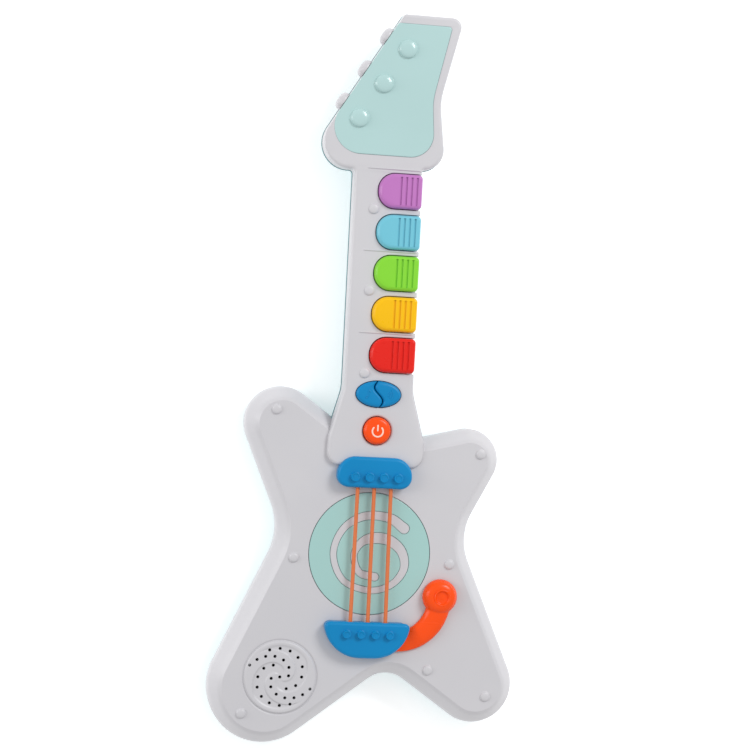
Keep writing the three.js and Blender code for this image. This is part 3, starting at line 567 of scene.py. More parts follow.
def bodyFront():
    style, face = bodyStyle, bodyStyle["face"]
    roof, parting = face - style["wall"], style["parting"]
    outer = softened(style["edge"], style["edgeReach"], 7)
    inner = [[roof, 9.2 + style["wall"]], [21.5, style["wall"]], [parting, style["wall"]]]
    opening = [[face, 0.35], [face - 0.12, 0.1], [face - 0.4, 0], [roof, 0]]
    holes = [
        (lambda grow: circle(0, 0, style["discOpening"] + grow, 180), opening),
        (lambda grow: circle(speaker[0], speaker[1], speakerStyle["patch"], 160), [[face, 0]]),
    ]
    shell = moulding(style["outline"], [*inner, *outer.tolist()], holes)
    ledge = turned(
        [
            [38.5, 29.4], [45.5, 29.4], [45.5, roof + 0.1], [42.2, roof + 0.1], [42.2, 31.9], [38.5, 31.9],
            [38.5, 29.4]
        ],
        sides=96
    )
    rim = turned(
        [[25.1, 27], [27.2, 27], [27.2, roof + 0.1], [25.1, roof + 0.1], [25.1, 27]], speaker[0], speaker[1],
        96
    )
    studs = [dome(x, y, style["studRadius"], face, style["studHeight"]) for x, y in style["studs"]]
    return joined(shell, ledge, rim, grillePatch(face), *studs)


addPiece("body_front_shell", bodyFront(), finishes["white_shell"], stands=["body_front"])
print("front of the body made")

# ---- back of the body, with the battery bay ----
bay = placeOf("battery_door", home)
caseScrews = [
    placeOf(f"case_screw_{k}", home)[0][:2] for k in range(1, 7)
] + [placeOf(f"tang_screw_{k}", home)[0][:2] for k in (1, 2)]
lugSpot = placeOf("door_screw", home)[0][:2]
backStyle = {
    "edge": [[0, 9], [0.15, 8.2], [1.6, 6.2], [9, 0.9], [12.7, 0.2], [12.7, 0.25]],
    "edgeReach": [0.6, 2, 2.5, 0.1],
    "floor": 2.9,
    "screwWell": 3.6,
    "screwDepth": 6.3,
    "doorDepth": 2.2,
    "bayRoof": 18.6,
    "ribs": 5,
    "ribHalf": 11,
    "ribStep": 1.2,
    "ribPitch": 3.2,
    "ribWidth": 1.6,
    "lugBore": [2.0, 1.9, 3.4],  # radius, low, high
}
doorHalf = 31.5
doorTop, doorFoot = bay[2][1], lugSpot[1] + 6.0


# The door's outline, a plate with a rounded lug, grown outwards: eight corners, anticlockwise from below.
def doorShape(grow, lug=4.6):
    x, left, right = lugSpot[0], bay[0][0] - doorHalf, bay[0][0] + doorHalf
    corners = [
        [left, doorFoot, 1.5],
        [x - 4.6, doorFoot, 0.6],
        [x - 4.6, lugSpot[1] - 4.6, 4.5],
        [x + 4.6, lugSpot[1] - 4.6, 4.5],
        [x + 4.6, doorFoot, 0.6],
        [right, doorFoot, 1.5],
        [right, doorTop, 1.5],
        [left, doorTop, 1.5],
    ]
    return ring(corners, -grow, 4)


def rectangle(x0, x1, y0, y1, radius=1.0):
    corners = [[x0, y0, radius], [x1, y0, radius], [x1, y1, radius], [x0, y1, radius]]
    return lambda grow: ring(corners, -grow, 4)


def bodyBack():
    style = backStyle
    floor, wellRadius, depth = style["floor"], style["screwWell"], style["screwDepth"]
    outer = softened(style["edge"], style["edgeReach"], 6)
    inner = [[12.7, 2.4], [9, 3.1], [floor, 9.2]]
    x0, x1, y0, y1 = bay[0][0] - 30, bay[0][0] + 30, doorFoot + 1.5, doorTop - 1.5
    bayHole, bayBox = rectangle(x0, x1, y0, y1), rectangle(x0 - 3, x1 + 3, y0 - 3, y1 + 3)
    posts, holes = [], []
    for x, y in caseScrews:
        shape = lambda grow, x=x, y=y: circle(x, y, wellRadius + grow, 32)
        holes.append(shape)
        path = [
            [0, 0.35], [0.2, 0.05], [0.5, 0], [depth, 0], [depth, -1.85], [12.7, -1.85], [12.7, 1.8],
            [floor, 1.8]
        ]
        posts.append(well(shape, path))
    recess = well(doorShape, [[0, 0.7], [0.2, 0.4], [0.5, 0.3], [style["doorDepth"], 0.3]])
    ledge = cap(doorShape(0.3), style["doorDepth"], [bayHole(0)])
    hollow = well(bayHole, [[style["doorDepth"], 0], [style["bayRoof"], 0]], True)
    box = well(bayBox, [[floor, 0], [style["bayRoof"] + 1.6, 0]], True)
    rings = [ring(bodyStyle["outline"], inset) for _, inset in [*outer.tolist(), *inner]]
    heights = [height for height, _ in [*outer.tolist(), *inner]]
    bottom = cap(rings[0], heights[0], [doorShape(0.7), *[shape(0.35) for shape in holes]])
    top = cap(rings[-1], heights[-1], [bayBox(0), *[shape(1.8) for shape in holes]])
    return joined(loft(rings, heights), bottom, top, recess, ledge, hollow, box, *posts)


backPiece = addPiece(
    "body_back_shell", bodyBack(), finishes["teal_shell"], stands=["body_back"]
)
bore(backPiece, [[*lugSpot, *backStyle["lugBore"]]])


def batteryDoor():
    low, high = bay[1][2], bay[2][2]
    lug = lambda grow: circle(lugSpot[0], lugSpot[1], 1.65 + grow, 32)
    seat = [[low, 2.1], [low + 0.15, 1.95], [1.4, 1.95], [1.4, 0], [high, 0]]
    ribs = []
    for k in range(backStyle["ribs"]):
        half = backStyle["ribHalf"] - backStyle["ribStep"] * k
        y = doorFoot + 4 + backStyle["ribPitch"] * k
        ribs.append(rectangle(bay[0][0] - half, bay[0][0] + half, y, y + backStyle["ribWidth"], 0.75))
    rings = [doorShape(-inset) for _, inset in ([low, 0.5], [low + 0.15, 0.15], [low + 0.5, 0], [high, 0])]
    heights = [low, low + 0.15, low + 0.5, high]
    grips = [well(rib, [[low, 0.15], [low + 0.12, 0], [low + 0.7, -0.15]], True) for rib in ribs]
    bottom = cap(rings[0], low, [lug(2.1), *[rib(0.15) for rib in ribs]])
    return joined(loft(rings, heights), bottom, cap(rings[-1], high, [lug(0)]), well(lug, seat), *grips)


addPiece(
    "battery_door_lid", batteryDoor(), finishes["teal_shell"], "battery_door", ["battery_door"]
)


screwStyle = {
    "head": 3.1,
    "depth": 2.2,
    "doorHead": 3.2,
    "doorDepth": 0.8,
    "doorShank": 1.3,
    "crossHalf": 0.45,
    "crossReach": 0.6,
}


# A cross-recessed screw seen from below: head at the bottom, a threaded shank above.
def screw(x, y, low, high, headRadius, headDepth, shank=1.4):
    half, reach = screwStyle["crossHalf"], headRadius * screwStyle["crossReach"]
    arms = [np.array([[half, -half], [reach, -half], [reach, half]])]
    for k in range(3):
        arms.append(np.stack([-arms[-1][:, 1], arms[-1][:, 0]], 1))  # a quarter turn: (x, y) to (-y, x)
    corners = [[*spot, 0.1] for spot in np.vstack(arms).tolist()]
    cross = lambda grow: ring(corners, -grow, 2) + [x, y]
    disc = lambda grow: circle(x, y, headRadius + grow, 40)
    head = loft(
        [disc(-0.5), disc(-0.12), disc(0), disc(0), circle(x, y, shank, 40)],
        [low, low + 0.12, low + 0.5, low + headDepth, low + headDepth]
    )
    recess = well(cross, [[low, 0], [low + headDepth * 0.6, -0.2]], True)
    turns = np.arange(0, max(int((high - low - headDepth - 1) / 0.5), 2) * 2)
    thread = np.stack([shank * np.where(turns % 2, 0.82, 1.0), low + headDepth + 0.25 * turns], 1)
    body = turned(np.vstack([thread, [[0, thread[-1, 1] + 0.9]]]), x, y, 40)
    return joined(head, cap(disc(-0.5), low, [cross(0)]), recess, body)


for name in [f"case_screw_{k}" for k in range(1, 7)] + [
    "tang_screw_1", "tang_screw_2", "neck_screw_1", "neck_screw_2"
]:
    middle, low, high = placeOf(name, home)
    part = screw(middle[0], middle[1], low[2], high[2], screwStyle["head"], screwStyle["depth"])
    addPiece(name + "_steel", part, finishes["screw_steel"], stands=[name])
_, low, high = placeOf("door_screw", home)
part = screw(
    lugSpot[0], lugSpot[1], low[2], high[2], screwStyle["doorHead"], screwStyle["doorDepth"],
    screwStyle["doorShank"]
)
addPiece("door_screw_steel", part, finishes["screw_steel"], "battery_door", ["door_screw"])
print("back of the body made")

# ---- neck shells ----
keyNames = ["purple", "sky", "green", "yellow", "red"]
keySpots = {name: placeOf("key_" + name, home) for name in keyNames}
ovalLow, ovalHigh = placeOf("mode_button_left", home)[1], placeOf("mode_button_right", home)[2]
power = placeOf("power_button", home)
plateStyle = {
    "outline": [[29.3, 274, 16], [26.2, 314, 44], [37.2, 365.6, 2], [1.2, 365.6, 1], [-53.9, 274, 18]],
    "domes": [[6.9, 348], [-8.4, 323.1], [-24.1, 298.4]],
    "overhang": [0, 0, 0, 1.35, 0],
    "domeRadius": 6.3,
    "domeHeight": 3.0,
}
neckStyle = {
    "face": 38.0,
    "parting": 25.3,
    "shelf": 27.0,
    "edge": [[35.2, 0], [37.2, 0.55], [38, 2.4]],
    "frets": [265, 208.5, 152.1],
    "dots": [237, 181, 124.2],
    "dotX": -10.8,
    "fretWidth": 0.75,
    "plungerX": 6.5,
    "plungerBore": [3.2, 24.0, 27.8],  # radius, low, high
    "screwBore": [3.6, 10, 20.3],
}
ovalMiddle, ovalHalf = (ovalLow + ovalHigh) / 2, (ovalHigh - ovalLow) / 2


def plateShape(grow):
    return ring(plateStyle["outline"], -grow)


# The ellipse (a cos t, b sin t) moved out along its normal (b cos t, a sin t).
def ovalShape(grow):
    (x, y), (a, b) = ovalMiddle[:2], ovalHalf[:2]
    angle = np.arange(140) * 2 * math.pi / 140
    c, s = np.cos(angle), np.sin(angle)
    out = np.stack([b * c, a * s], 1) / np.hypot(b * c, a * s)[:, None]
    return np.stack([x + a * c, y + b * s], 1) + out * grow


# The neck's corners, anticlockwise from the right of its foot; each key takes a D-shaped bite out of the
# right side. The last number weighs that edge's bevel.
def neckCorners():
    table = [[33.8, 60, 9, 3.6], [33.6, 78, 5, 3.6], [24, 112, 32, 1.6]]
    for name in reversed(keyNames):
        _, low, high = keySpots[name]
        y0, y1 = low[1] - 0.4, high[1] + 0.4
        right = 24 - (low[1] - 112) * 2.1 / 154
        table += [
            [right, y0, 0.5, 0.12], [low[0] - 0.4, y0, 11.8, 0.12], [low[0] - 0.4, y1, 11.8, 0.12],
            [right - 0.33, y1, 0.5, 1.0]
        ]
    table += [
        [21.9, 266, 2, 1],
        [37.9, 268, 14, 1],
        [32, 314, 44, 1],
        [45.8, 372.5, 6.5, 1],
        [3.8, 372.5, 2.5, 0.3],
        [-61.7, 263.5, 18.5, 1],
        [-25.2, 263.5, 2.5, 1],
        [-24.6, 113, 32, 1],
        [-33.6, 79, 5, 1],
        [-33.8, 60, 9, 1],
    ]
    return np.array(table)


# The same ring with the bites filled: points inside a bite move out to the straight side, x = 24 - (y - 112)
# * 2.1 / 154.
def withoutBites(points):
    side = 24 - (points[:, 1] - 112) * 2.1 / 154
    low, high = keySpots["red"][1][1], keySpots["purple"][2][1]
    bitten = (points[:, 0] > -11) & (points[:, 1] > low - 1.2) & (points[:, 1] < high + 1.2)
    return np.column_stack([np.where(bitten, side, points[:, 0]), points[:, 1]])


def neckFront():
    style, corners = neckStyle, neckCorners()
    outline, weights, face = corners[:, :3], corners[:, 3], neckStyle["face"]
    edge = softened(style["edge"], 1.2, 6).tolist()
    bitten = ring(outline, 0)
    rings = [
        withoutBites(bitten), withoutBites(bitten), bitten,
        *[ring(outline, inset * weights) for _, inset in edge]
    ]
    heights = [style["parting"], style["shelf"], style["shelf"], *[height for height, _ in edge]]
    powerHole = lambda grow: circle(power[0][0], power[0][1], 9.9 + grow, 64)
    holes = [
        (
            powerHole,
            [[face, 1.5], [face - 0.25, 0.7], [face - 0.8, 0.15], [face - 1.6, 0], [style["parting"], 0]]
        ),
        (
            lambda grow: ovalShape(0.4 + grow),
            [[face, 0.35], [face - 0.12, 0.1], [face - 0.4, 0], [style["parting"], 0]]
        ),
    ]
    plateSeat = well(
        lambda grow: plateShape(seam + grow), [[face, 0.1], [face - 0.1, 0], [face - 2, 0]], True
    )
    walls = [well(shape, path) for shape, path in holes]
    top = cap(rings[-1], face, [plateShape(seam + 0.1), *[shape(path[0][1]) for shape, path in holes]])
    bottom = cap(rings[0], heights[0], [shape(path[-1][1]) for shape, path in holes])
    fretLine = np.array(
        [
            [0, -1.1], [0.32, -0.62], [0.62, -0.25], [0.7, 0.0], [0.62, 0.28], [0.3, 0.62], [0, 1.0],
            [-0.5, 1.0], [-0.5, -1.1]
        ]
    )
    frets = []
    for y in style["frets"]:
        ends = [-16.5, -15.9, -15.3, 19.7, 20.3, 20.9]
        scale = [0.05, 0.6, 1, 1, 0.6, 0.05]
        table = np.stack(
            [
                np.column_stack(
                    [np.full(9, x), y + fretLine[:, 1] * style["fretWidth"], face + fretLine[:, 0] * s]
                )
                for x, s in zip(ends, scale)
            ]
        )
        close = [np.array([[0, 1, 2, 3, 4, 5, 6, 7, 8]]), np.array([[8, 7, 6, 5, 4, 3, 2, 1, 0]]) + 45]
        points, faces = skin(table)
        frets.append((points, faces + close))
    dots = [dome(style["dotX"], y, 3.4, face, 1.7) for y in style["dots"]]
    return joined(loft(rings, heights), top, bottom, plateSeat, *walls, *frets, *dots)


neckFrontPiece = addPiece(
    "neck_front_shell", neckFront(), finishes["white_shell"], stands=["neck_front"]
)
bore(
    neckFrontPiece,
    [[neckStyle["plungerX"], spot[0][1], *neckStyle["plungerBore"]] for spot in keySpots.values()]
)


def neckBack():
    outline = neckCorners()
    keep = np.r_[0:3, 3 + 4 * len(keyNames) : len(outline)]
    outline = outline[keep][:, :3]
    outer = softened(
        [[16, 3.6], [17.2, 1.6], [21, -0.1], [25, -0.4], [25, -0.3]], [1.0, 1.4, 0.05], 6
    ).tolist()
    inner = [[25, 1.8], [21, 2.2], [18.2, 3.9]]
    return moulding(outline, [*outer, *inner])


neckBackPiece = addPiece(
    "neck_back_shell", neckBack(), finishes["teal_shell"], stands=["neck_back"]
)
neckScrews = [placeOf(f"neck_screw_{k}", home)[0][:2] for k in (1, 2)]
bore(neckBackPiece, [[x, y, *neckStyle["screwBore"]] for x, y in neckScrews])
print("neck made")


# ---- headstock plate and tuner knobs ----
# The plate overhangs the rim of the headstock along its slanting edge, the fourth of its outline.
def headstockPlate():
    base, face = placeOf("headstock_plate", home)[1][2], neckStyle["face"]
    rim = softened([[face + 0.05, 0], [face + 0.3, 0.05], [face + 0.48, 0.6]], 0.2, 4).tolist()
    path = [
        [base, 0.1, 0], [base + 0.2, 0, 0], [face + 0.03, 0, 0],
        *[[height, inset, 1] for height, inset in rim]
    ]
    overhang = np.array(plateStyle["overhang"])
    rings = [ring(plateStyle["outline"], inset - reach * overhang) for _, inset, reach in path]
    heights = [height for height, _, _ in path]
    panel = joined(loft(rings, heights), cap(rings[0], heights[0]), cap(rings[-1], heights[-1]))
    domes = [
        dome(x, y, plateStyle["domeRadius"], face + 0.4, plateStyle["domeHeight"], 56)
        for x, y in plateStyle["domes"]
    ]
    return joined(panel, *domes)


addPiece(
    "headstock_plate_panel", headstockPlate(), finishes["aqua_plate"], stands=["headstock_plate"],
)

knobProfile = softened(
    [[0, -5], [2.3, -5], [2.3, 0.3], [6.4, 0.3], [6.5, 1.5], [5.9, 3.6], [3.6, 5.1], [0, 5.3]],
    [0.3, 0.3, 0.3, 0.5, 1.2, 1.8], 5
)
slantTurn = math.degrees(math.atan2(52.3, -87.0))
for k in (1, 2, 3):
    name = f"tuner_knob_{k}"
    along = np.array([-52.3, -87.0]) / math.hypot(52.3, 87.0)
    x, y = np.array([3.8, 372.5]) + along * (19.5 + 27.2 * (k - 1))
    knob = laid(turned(knobProfile, sides=56))
    placed = swung((knob[0], knob[1]), slantTurn, x, y)
    part = placed[0] + [0, 0, 31.8], placed[1]
    addPiece(name + "_cap", part, finishes["white_shell"], stands=[name])
print("headstock made")

# ---- sound disc and its spiral ----
# The band's middle line from its outer end in, as [angle in degrees, radius, width].
discStyle = {
    "radius": 42.0,
    "face": 34.1,
    "line": [
        [38, 29.6, 7.2], [64, 28, 6.2], [101, 26, 5.5], [
            140, 25.1, 4.8
        ], [183, 25.1, 4.4], [228, 25.7, 4.3], [273, 25.4, 4.4], [308, 26.5, 4.6],
        [
            338, 26.4, 5.4
        ], [
            365, 22.6, 6.4
        ], [
            396, 16.4, 7.2
        ], [440, 10.9, 7.2], [492, 9.5, 5.4], [550, 10.8, 4.2], [604, 14.6, 4.8], [646, 16.6, 5.6],
    ],
    "groove": 1.2,
    "sunk": 0.25,
}


# A smooth line through a table of points: the cubic (Catmull-Rom) p1 + t(p2-p0)/2 + t^2(...)/2 + t^3(...)/2
# between each pair.
def smoothLine(table, pieces=8):
    p = np.vstack([2 * table[0] - table[1], table, 2 * table[-1] - table[-2]])
    t = (np.arange(pieces) / pieces)[None, :, None]
    p0, p1, p2, p3 = p[:-3, None], p[1:-2, None], p[2:-1, None], p[3:, None]
    line = p1 + t * (p2 - p0) / 2 + t**2 * (
        2 * p0 - 5 * p1 + 4 * p2 - p3
    ) / 2 + t**3 * (3 * p1 - p0 - 3 * p2 + p3) / 2
    return np.vstack([line.reshape(-1, table.shape[1]), table[-1:]])


# The band's outline grown by an amount: both sides of its line, and a half circle at each end.
def bandShape(grow):
    degrees, radius, width = np.array(discStyle["line"], float).T
    angle = np.radians(degrees)
    line = smoothLine(np.stack([radius * np.cos(angle), radius * np.sin(angle), width], 1))
    along = np.gradient(line[:, :2], axis=0)
    along /= np.linalg.norm(along, axis=1)[:, None]
    across = np.stack([-along[:, 1], along[:, 0]], 1)
    half = (line[:, 2] / 2 + grow)[:, None]
    t = np.linspace(0, math.pi, 14)[1:-1, None]
    far = line[-1, :2] + half[-1] * (-across[-1] * np.cos(t) + along[-1] * np.sin(t))
    near = line[0, :2] + half[0] * (across[0] * np.cos(t) - along[0] * np.sin(t))
    return np.vstack([line[:, :2] - across * half, far, (line[:, :2] + across * half)[::-1], near])


def soundDisc():
    face, low = discStyle["face"], placeOf("sound_disc", home)[1][2]
    disc = lambda grow: circle(0, 0, discStyle["radius"] + grow, 200)
    path = [[low, -0.1], [low + 0.2, 0], [face - 0.4, 0], [face - 0.12, -0.12], [face, -0.4]]
    rings, heights = [disc(grow) for _, grow in path], [height for height, _ in path]
    groove = well(
        bandShape,
        [[face, 0.5], [face - 0.12, 0.32], [face - 0.35, 0.26], [face - discStyle["groove"], 0.26]], True
    )
    return joined(loft(rings, heights), cap(rings[0], low), cap(rings[-1], face, [bandShape(0.5)]), groove)


addPiece("sound_disc_window", soundDisc(), finishes["aqua_window"], stands=["sound_disc"])


def spiralTrim():
    low, top = discStyle["face"] - discStyle["groove"] + 0.1, discStyle["face"] - discStyle["sunk"]
    path = [[low, 0], [top - 0.35, 0], [top - 0.1, -0.1], [top, -0.35]]
    rings, heights = [bandShape(grow) for _, grow in path], [height for height, _ in path]
    return joined(loft(rings, heights), cap(rings[0], low), cap(rings[-1], top))


addPiece("spiral_inlay", spiralTrim(), finishes["white_shell"], stands=["spiral_trim"])

# ---- bridges and strings ----
bridgeStyle = {
    "upper": {
        "outline": [[-26.2, 45.6, 8], [25.6, 45.6, 8], [25.6, 66.8, 12.6], [-26.2, 66.8, 12.6]], "pegY": 53.0,
        "pegRadius": 3.1
    },
    "lower": {
        "outline": [[-24.6, -71.3, 25], [25.2, -71.3, 25], [30.6, -46.6, 3.6], [-30, -46.6, 3.6]],
        "pegY": -54.7, "pegRadius": 2.8
    },
    "top": 43.0,
    "foot": 34.3,
    "edge": [[34.3, 0.25], [34.6, 0], [40.8, 0], [42.3, 0.6], [43, 2.2]],
    "spacing": 0.45,
    "pegFirst": -14.1,
    "pegPitch": 9.95,
}
stringStyle = {
    "slot": 2.5, "radius": 1.35, "height": 38.4, "low": -50.0, "high": 50.5,
    "ends": {"left": [-11.4, -11.3], "middle": [0.7, 0.1], "right": [13.0, 11.7]}
}
leverStyle = {
    "arc": [20.6, -30.2, 29.6], "from": 3.0, "to": -95.0, "knob": [50.4, -27.6, 12.1], "foot": 34.35,
    "pivot": [14.0, -57.0], "slotTop": 41.0, "swing": 13.5, "band": 9.2, "pinBore": [2.5, 33.0, 46.0]
}


# Whether points lie where the lever's arm passes: turned back about the pivot by each angle of its swing, a
# point is in the arm's band of its arc.
def sweptByLever(points):
    style = leverStyle
    x, y, radius = style["arc"]
    swing = np.radians(np.linspace(-style["swing"], style["swing"], 29))[:, None]
    away = points - style["pivot"]
    turnedX = style["pivot"][0] + away[:, 0] * np.cos(swing) + away[:, 1] * np.sin(swing) - x
    turnedY = style["pivot"][1] - away[:, 0] * np.sin(swing) + away[:, 1] * np.cos(swing) - y
    inBand = np.abs(np.hypot(turnedX, turnedY) - radius) < style["band"]
    angle = np.degrees(np.arctan2(turnedY, turnedX))
    return (
        inBand & (angle < style["from"] + 5) & (angle > style["to"] - 25) & (points[:, 0] > style["pivot"][0])
    ).any(0)


# A bridge: a hollow cap whose foot is raised where a string, or the lever, passes under it.
def bridge(kind):
    style, top, foot = bridgeStyle[kind], bridgeStyle["top"], bridgeStyle["foot"]
    outer = softened(bridgeStyle["edge"], [0.1, 0.1, 0.9, 0.9], 5).tolist()
    path = [[top - 2.2, 2.6], [top - 3.4, 2.2], [foot, 2.2], *outer]
    plain = ring(style["outline"], 0)
    stretch = np.linalg.norm(np.roll(plain, -1, 0) - plain, axis=1)
    pieces = np.ceil(stretch / bridgeStyle["spacing"]).astype(int)
    rings = [divided(ring(style["outline"], inset), pieces) for _, inset in path]
    base = divided(plain, pieces)
    raised = np.zeros(len(base))
    side = 0 if kind == "lower" else 1
    edgeY = -46.6 if kind == "lower" else 45.6
    for ends in stringStyle["ends"].values():
        passing = (np.abs(base[:, 0] - ends[side]) < stringStyle["slot"]) & (np.abs(base[:, 1] - edgeY) < 0.5)
        raised = np.where(passing, stringStyle["height"] + 2.0, raised)
    if kind == "lower":
        raised = np.where(sweptByLever(base), leverStyle["slotTop"], raised)
    heights = [
        np.maximum(
            np.full(len(base), height),
            np.where(raised > 0, np.minimum(raised + max(height - foot, 0) * 0.05, top - 0.3), 0)
        )
        for height, _ in path
    ]
    heights[0] = np.full(len(base), path[0][0])
    shell = loft(rings, heights)
    pegs = []
    radius = style["pegRadius"]
    profile = [
        [0, top - 0.8], [radius + 0.35, top - 0.8], [radius + 0.35, top], [radius + 0.1, top + 0.12],
        [radius, top + 0.4], [radius, top + 2.25], [radius - 0.12, top + 2.5], [radius - 0.4, top + 2.6],
        [radius - 0.8, top + 2.58], [radius - 1.0, top + 2.4], [radius - 1.15, top + 2.2], [0.9, top + 2.14],
        [0, top + 2.12]
    ]
    for k in range(4):
        pegs.append(turned(profile, bridgeStyle["pegFirst"] + bridgeStyle["pegPitch"] * k, style["pegY"], 40))
    return joined(shell, cap(rings[0], path[0][0]), cap(rings[-1], path[-1][0]), *pegs)


for kind in ("upper", "lower"):
    addPiece(
        kind + "_bridge_cap", bridge(kind), finishes["blue_plastic"], stands=[kind + "_bridge"],
    )


# A string: a round cord with a faint moulded ripple, its ends rounded. One straight cord, on no body, stands
# for both of its halves.
def stringCord(ends):
    style = stringStyle
    start, stop = np.array([ends[0], style["low"]]), np.array([ends[1], style["high"]])
    length = np.linalg.norm(stop - start)
    along = (stop - start) / length
    across = np.array([-along[1], along[0]])
    tip = np.sqrt(np.linspace(0, 1, 7)[:-1])
    bend = np.arcsin(tip)
    share = np.concatenate(
        [
            style["radius"] * (1 - np.cos(bend)), np.linspace(style["radius"], length - style["radius"], 180),
            length - style["radius"] * (1 - np.cos(bend[::-1]))
        ]
    )
    girth = style["radius"] * np.concatenate([tip, np.ones(180), tip[::-1]]) * (
        1 - 0.012 * (1 + np.cos(share * 2.4))
    )
    angle = np.arange(24) * 2 * math.pi / 24
    flat = start + along * share[:, None]
    table = np.empty((len(share), 24, 3))
    table[..., :2] = flat[:, None] + across * (girth[:, None] * np.cos(angle))[..., None]
    table[..., 2] = style["height"] + girth[:, None] * np.sin(angle)
    return skin(table), flat


for name, ends in stringStyle["ends"].items():
    part, line = stringCord(ends)
    lower, upper = f"string_{name}_lower", f"string_{name}_upper"
    cord = addPiece(f"string_{name}", part, finishes["string_rubber"], None, [lower, upper])
    cord.modifiers.clear()
    middle = placeOf(lower, home)[2][1]
    direction = (line[-1] - line[0]) / np.linalg.norm(line[-1] - line[0])
    bendAt = line[0] + direction * (middle - line[0][1])
    start, end = (
        [*((bendAt + direction * reach + home[:2]) * mm).tolist(), stringStyle["height"] * mm]
        for reach in (-6.0, 6.0)
    )
    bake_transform(cord)
print("bridges and strings made")


# ---- lever ----
# The arm: along an arc, a half-round section z = rise * (1 - |s|^2.6)^(1/2.2), s from -1 to 1 across.
def leverArm():
    style = leverStyle
    x, y, radius = style["arc"]
    t = np.linspace(0, 1, 90)
    angle = np.radians(style["from"] + (style["to"] - style["from"]) * t)
    half = 8.2 - 1.5 * t**2
    rise = np.where(
        t < 0.62, 5.6 + 0.35 * np.cos(t * 5), 5.2
    ) - 2.2 * np.clip((t - 0.58) / 0.2, 0, 1) ** 2 * (3 - 2 * np.clip((t - 0.58) / 0.2, 0, 1))
    s = np.sin(np.linspace(-math.pi / 2, math.pi / 2, 37))
    bulge = (1 - np.abs(s) ** 2.6) ** (1 / 2.2)
    reach = radius + half[:, None] * s
    top = np.stack(
        [
            x + reach * np.cos(angle)[:, None], y + reach * np.sin(angle)[:, None],
            style["foot"] + 0.9 + (rise[:, None] - 0.9) * bulge
        ],
        -1
    )
    low = top[:, ::-1].copy()
    low[..., 2] = style["foot"]
    points, faces = skin(np.concatenate([top, low], 1))
    count = top.shape[1] * 2
    ends = [np.arange(count)[None, :], np.arange(count)[None, ::-1] + (len(t) - 1) * count]
    return points, faces + ends


def lever():
    style = leverStyle
    x, y, radius = style["knob"]
    foot = style["foot"]
    bulb = softened(
        [
            [0, foot], [radius - 0.3, foot], [radius, foot + 0.4], [radius, foot + 3.0],
            [radius - 1.8, foot + 6.6], [7.4, foot + 8.1], [5.0, foot + 8.1], [4.4, foot + 5.6],
            [0, foot + 5.6]
        ],
        [0.2, 0.3, 0.9, 3.0, 1.6, 0.3, 0.3], 6
    )
    hub = [[0, foot], [6.6, foot], [6.6, foot + 2.6], [5.8, foot + 3.3], [0, foot + 3.3]]
    return joined(leverArm(), turned(bulb, x, y, 72), turned(hub, *style["pivot"], 48))


def leverDimple():
    x, y, _ = leverStyle["knob"]
    top = leverStyle["foot"] + 8.15
    profile = softened(
        [
            [0, top - 4], [5.9, top - 4], [5.9, top - 0.1], [5.5, top + 0.22], [4.8, top + 0.1],
            [4.1, top - 1.15], [2.4, top - 1.3], [0, top - 0.95]
        ],
        [0.1, 0.3, 0.25, 0.3, 0.5, 0.8], 5
    )
    return turned(profile, x + 0.9, y - 0.2, 64)


leverPiece = addPiece(
    "whammy_lever_arm", lever(), finishes["orange_plastic"], "whammy_lever", ["whammy_lever"],
    sharp=60
)
leverPiece.modifiers.clear()
fuse = leverPiece.modifiers.new("fuse", "REMESH")
fuse.mode, fuse.voxel_size, fuse.use_smooth_shade = "VOXEL", 0.42 * mm, True
ease = leverPiece.modifiers.new("ease", "SMOOTH")
ease.factor, ease.iterations = 0.5, 12
settle(leverPiece)
bore(leverPiece, [[*leverStyle["pivot"], *leverStyle["pinBore"]]], 60)
addPiece(
    "whammy_lever_dimple", leverDimple(), finishes["orange_plastic"], "whammy_lever", [],
    sharp=60
)
middle, low, high = placeOf("lever_screw", home)
pin = turned(
    [
        [0, low[2]], [1.4, low[2]], [1.4, 34.2], [2.2, 34.2], [2.2, high[2] - 1.5], [4, high[2] - 1.5],
        [4.0, high[2] - 1.1], [3.4, high[2] - 0.3], [2.2, high[2]], [0, high[2]]
    ],
    middle[0], middle[1], 40
)
addPiece("lever_pin", pin, finishes["screw_steel"], stands=["lever_screw"])
print("lever made")

# ---- keys and buttons ----
keyStyle = {
    "grooves": [7.0, 10.7, 14.4, 18.1],
    "grooveHalf": 9.7,
    "grooveWidth": 1.1,
    "grooveDepth": 0.9,
    "edge": [[0, 0], [9.6, 0], [11.5, 0.8], [12.2, 2.3]],
    "bevels": [1.0, 0.7, 1.0, 1.45],
    "wall": 1.8,
}


def keyCap(name):
    style = keyStyle
    _, low, high = keySpots[name]
    x0, x1, y0, y1 = low[0], high[0], low[1], high[1]
    outline = [[x0, y0, 11.4], [x1, y0, 3], [x1, y1, 3], [x0, y1, 11.4]]
    foot = high[2] - 12.2
    edge = softened(style["edge"], [1.6, 1.1], 7).tolist()
    path = [
        [high[2] - 2.4, style["wall"] + 0.6], [high[2] - 3.6, style["wall"]], [foot, style["wall"]],
        *[[foot + rise, inset] for rise, inset in edge]
    ]
    middle = (y0 + y1) / 2
    half, width = style["grooveHalf"], style["grooveWidth"] / 2
    slots = [
        (
            rectangle(x - width, x + width, middle - half, middle + half, width * 0.9),
            [
                [high[2], 0.3], [high[2] - 0.12, 0.12], [high[2] - 0.35, 0],
                [high[2] - style["grooveDepth"], -0.12]
            ]
        )
        for x in style["grooves"]
    ]
    plunger = turned([[0, low[2]], [2.6, low[2]], [2.6, high[2] - 1.6], [0, high[2] - 1.6]], 6.5, middle, 24)
    return joined(moulding(outline, path, pockets=slots, weights=style["bevels"]), plunger)


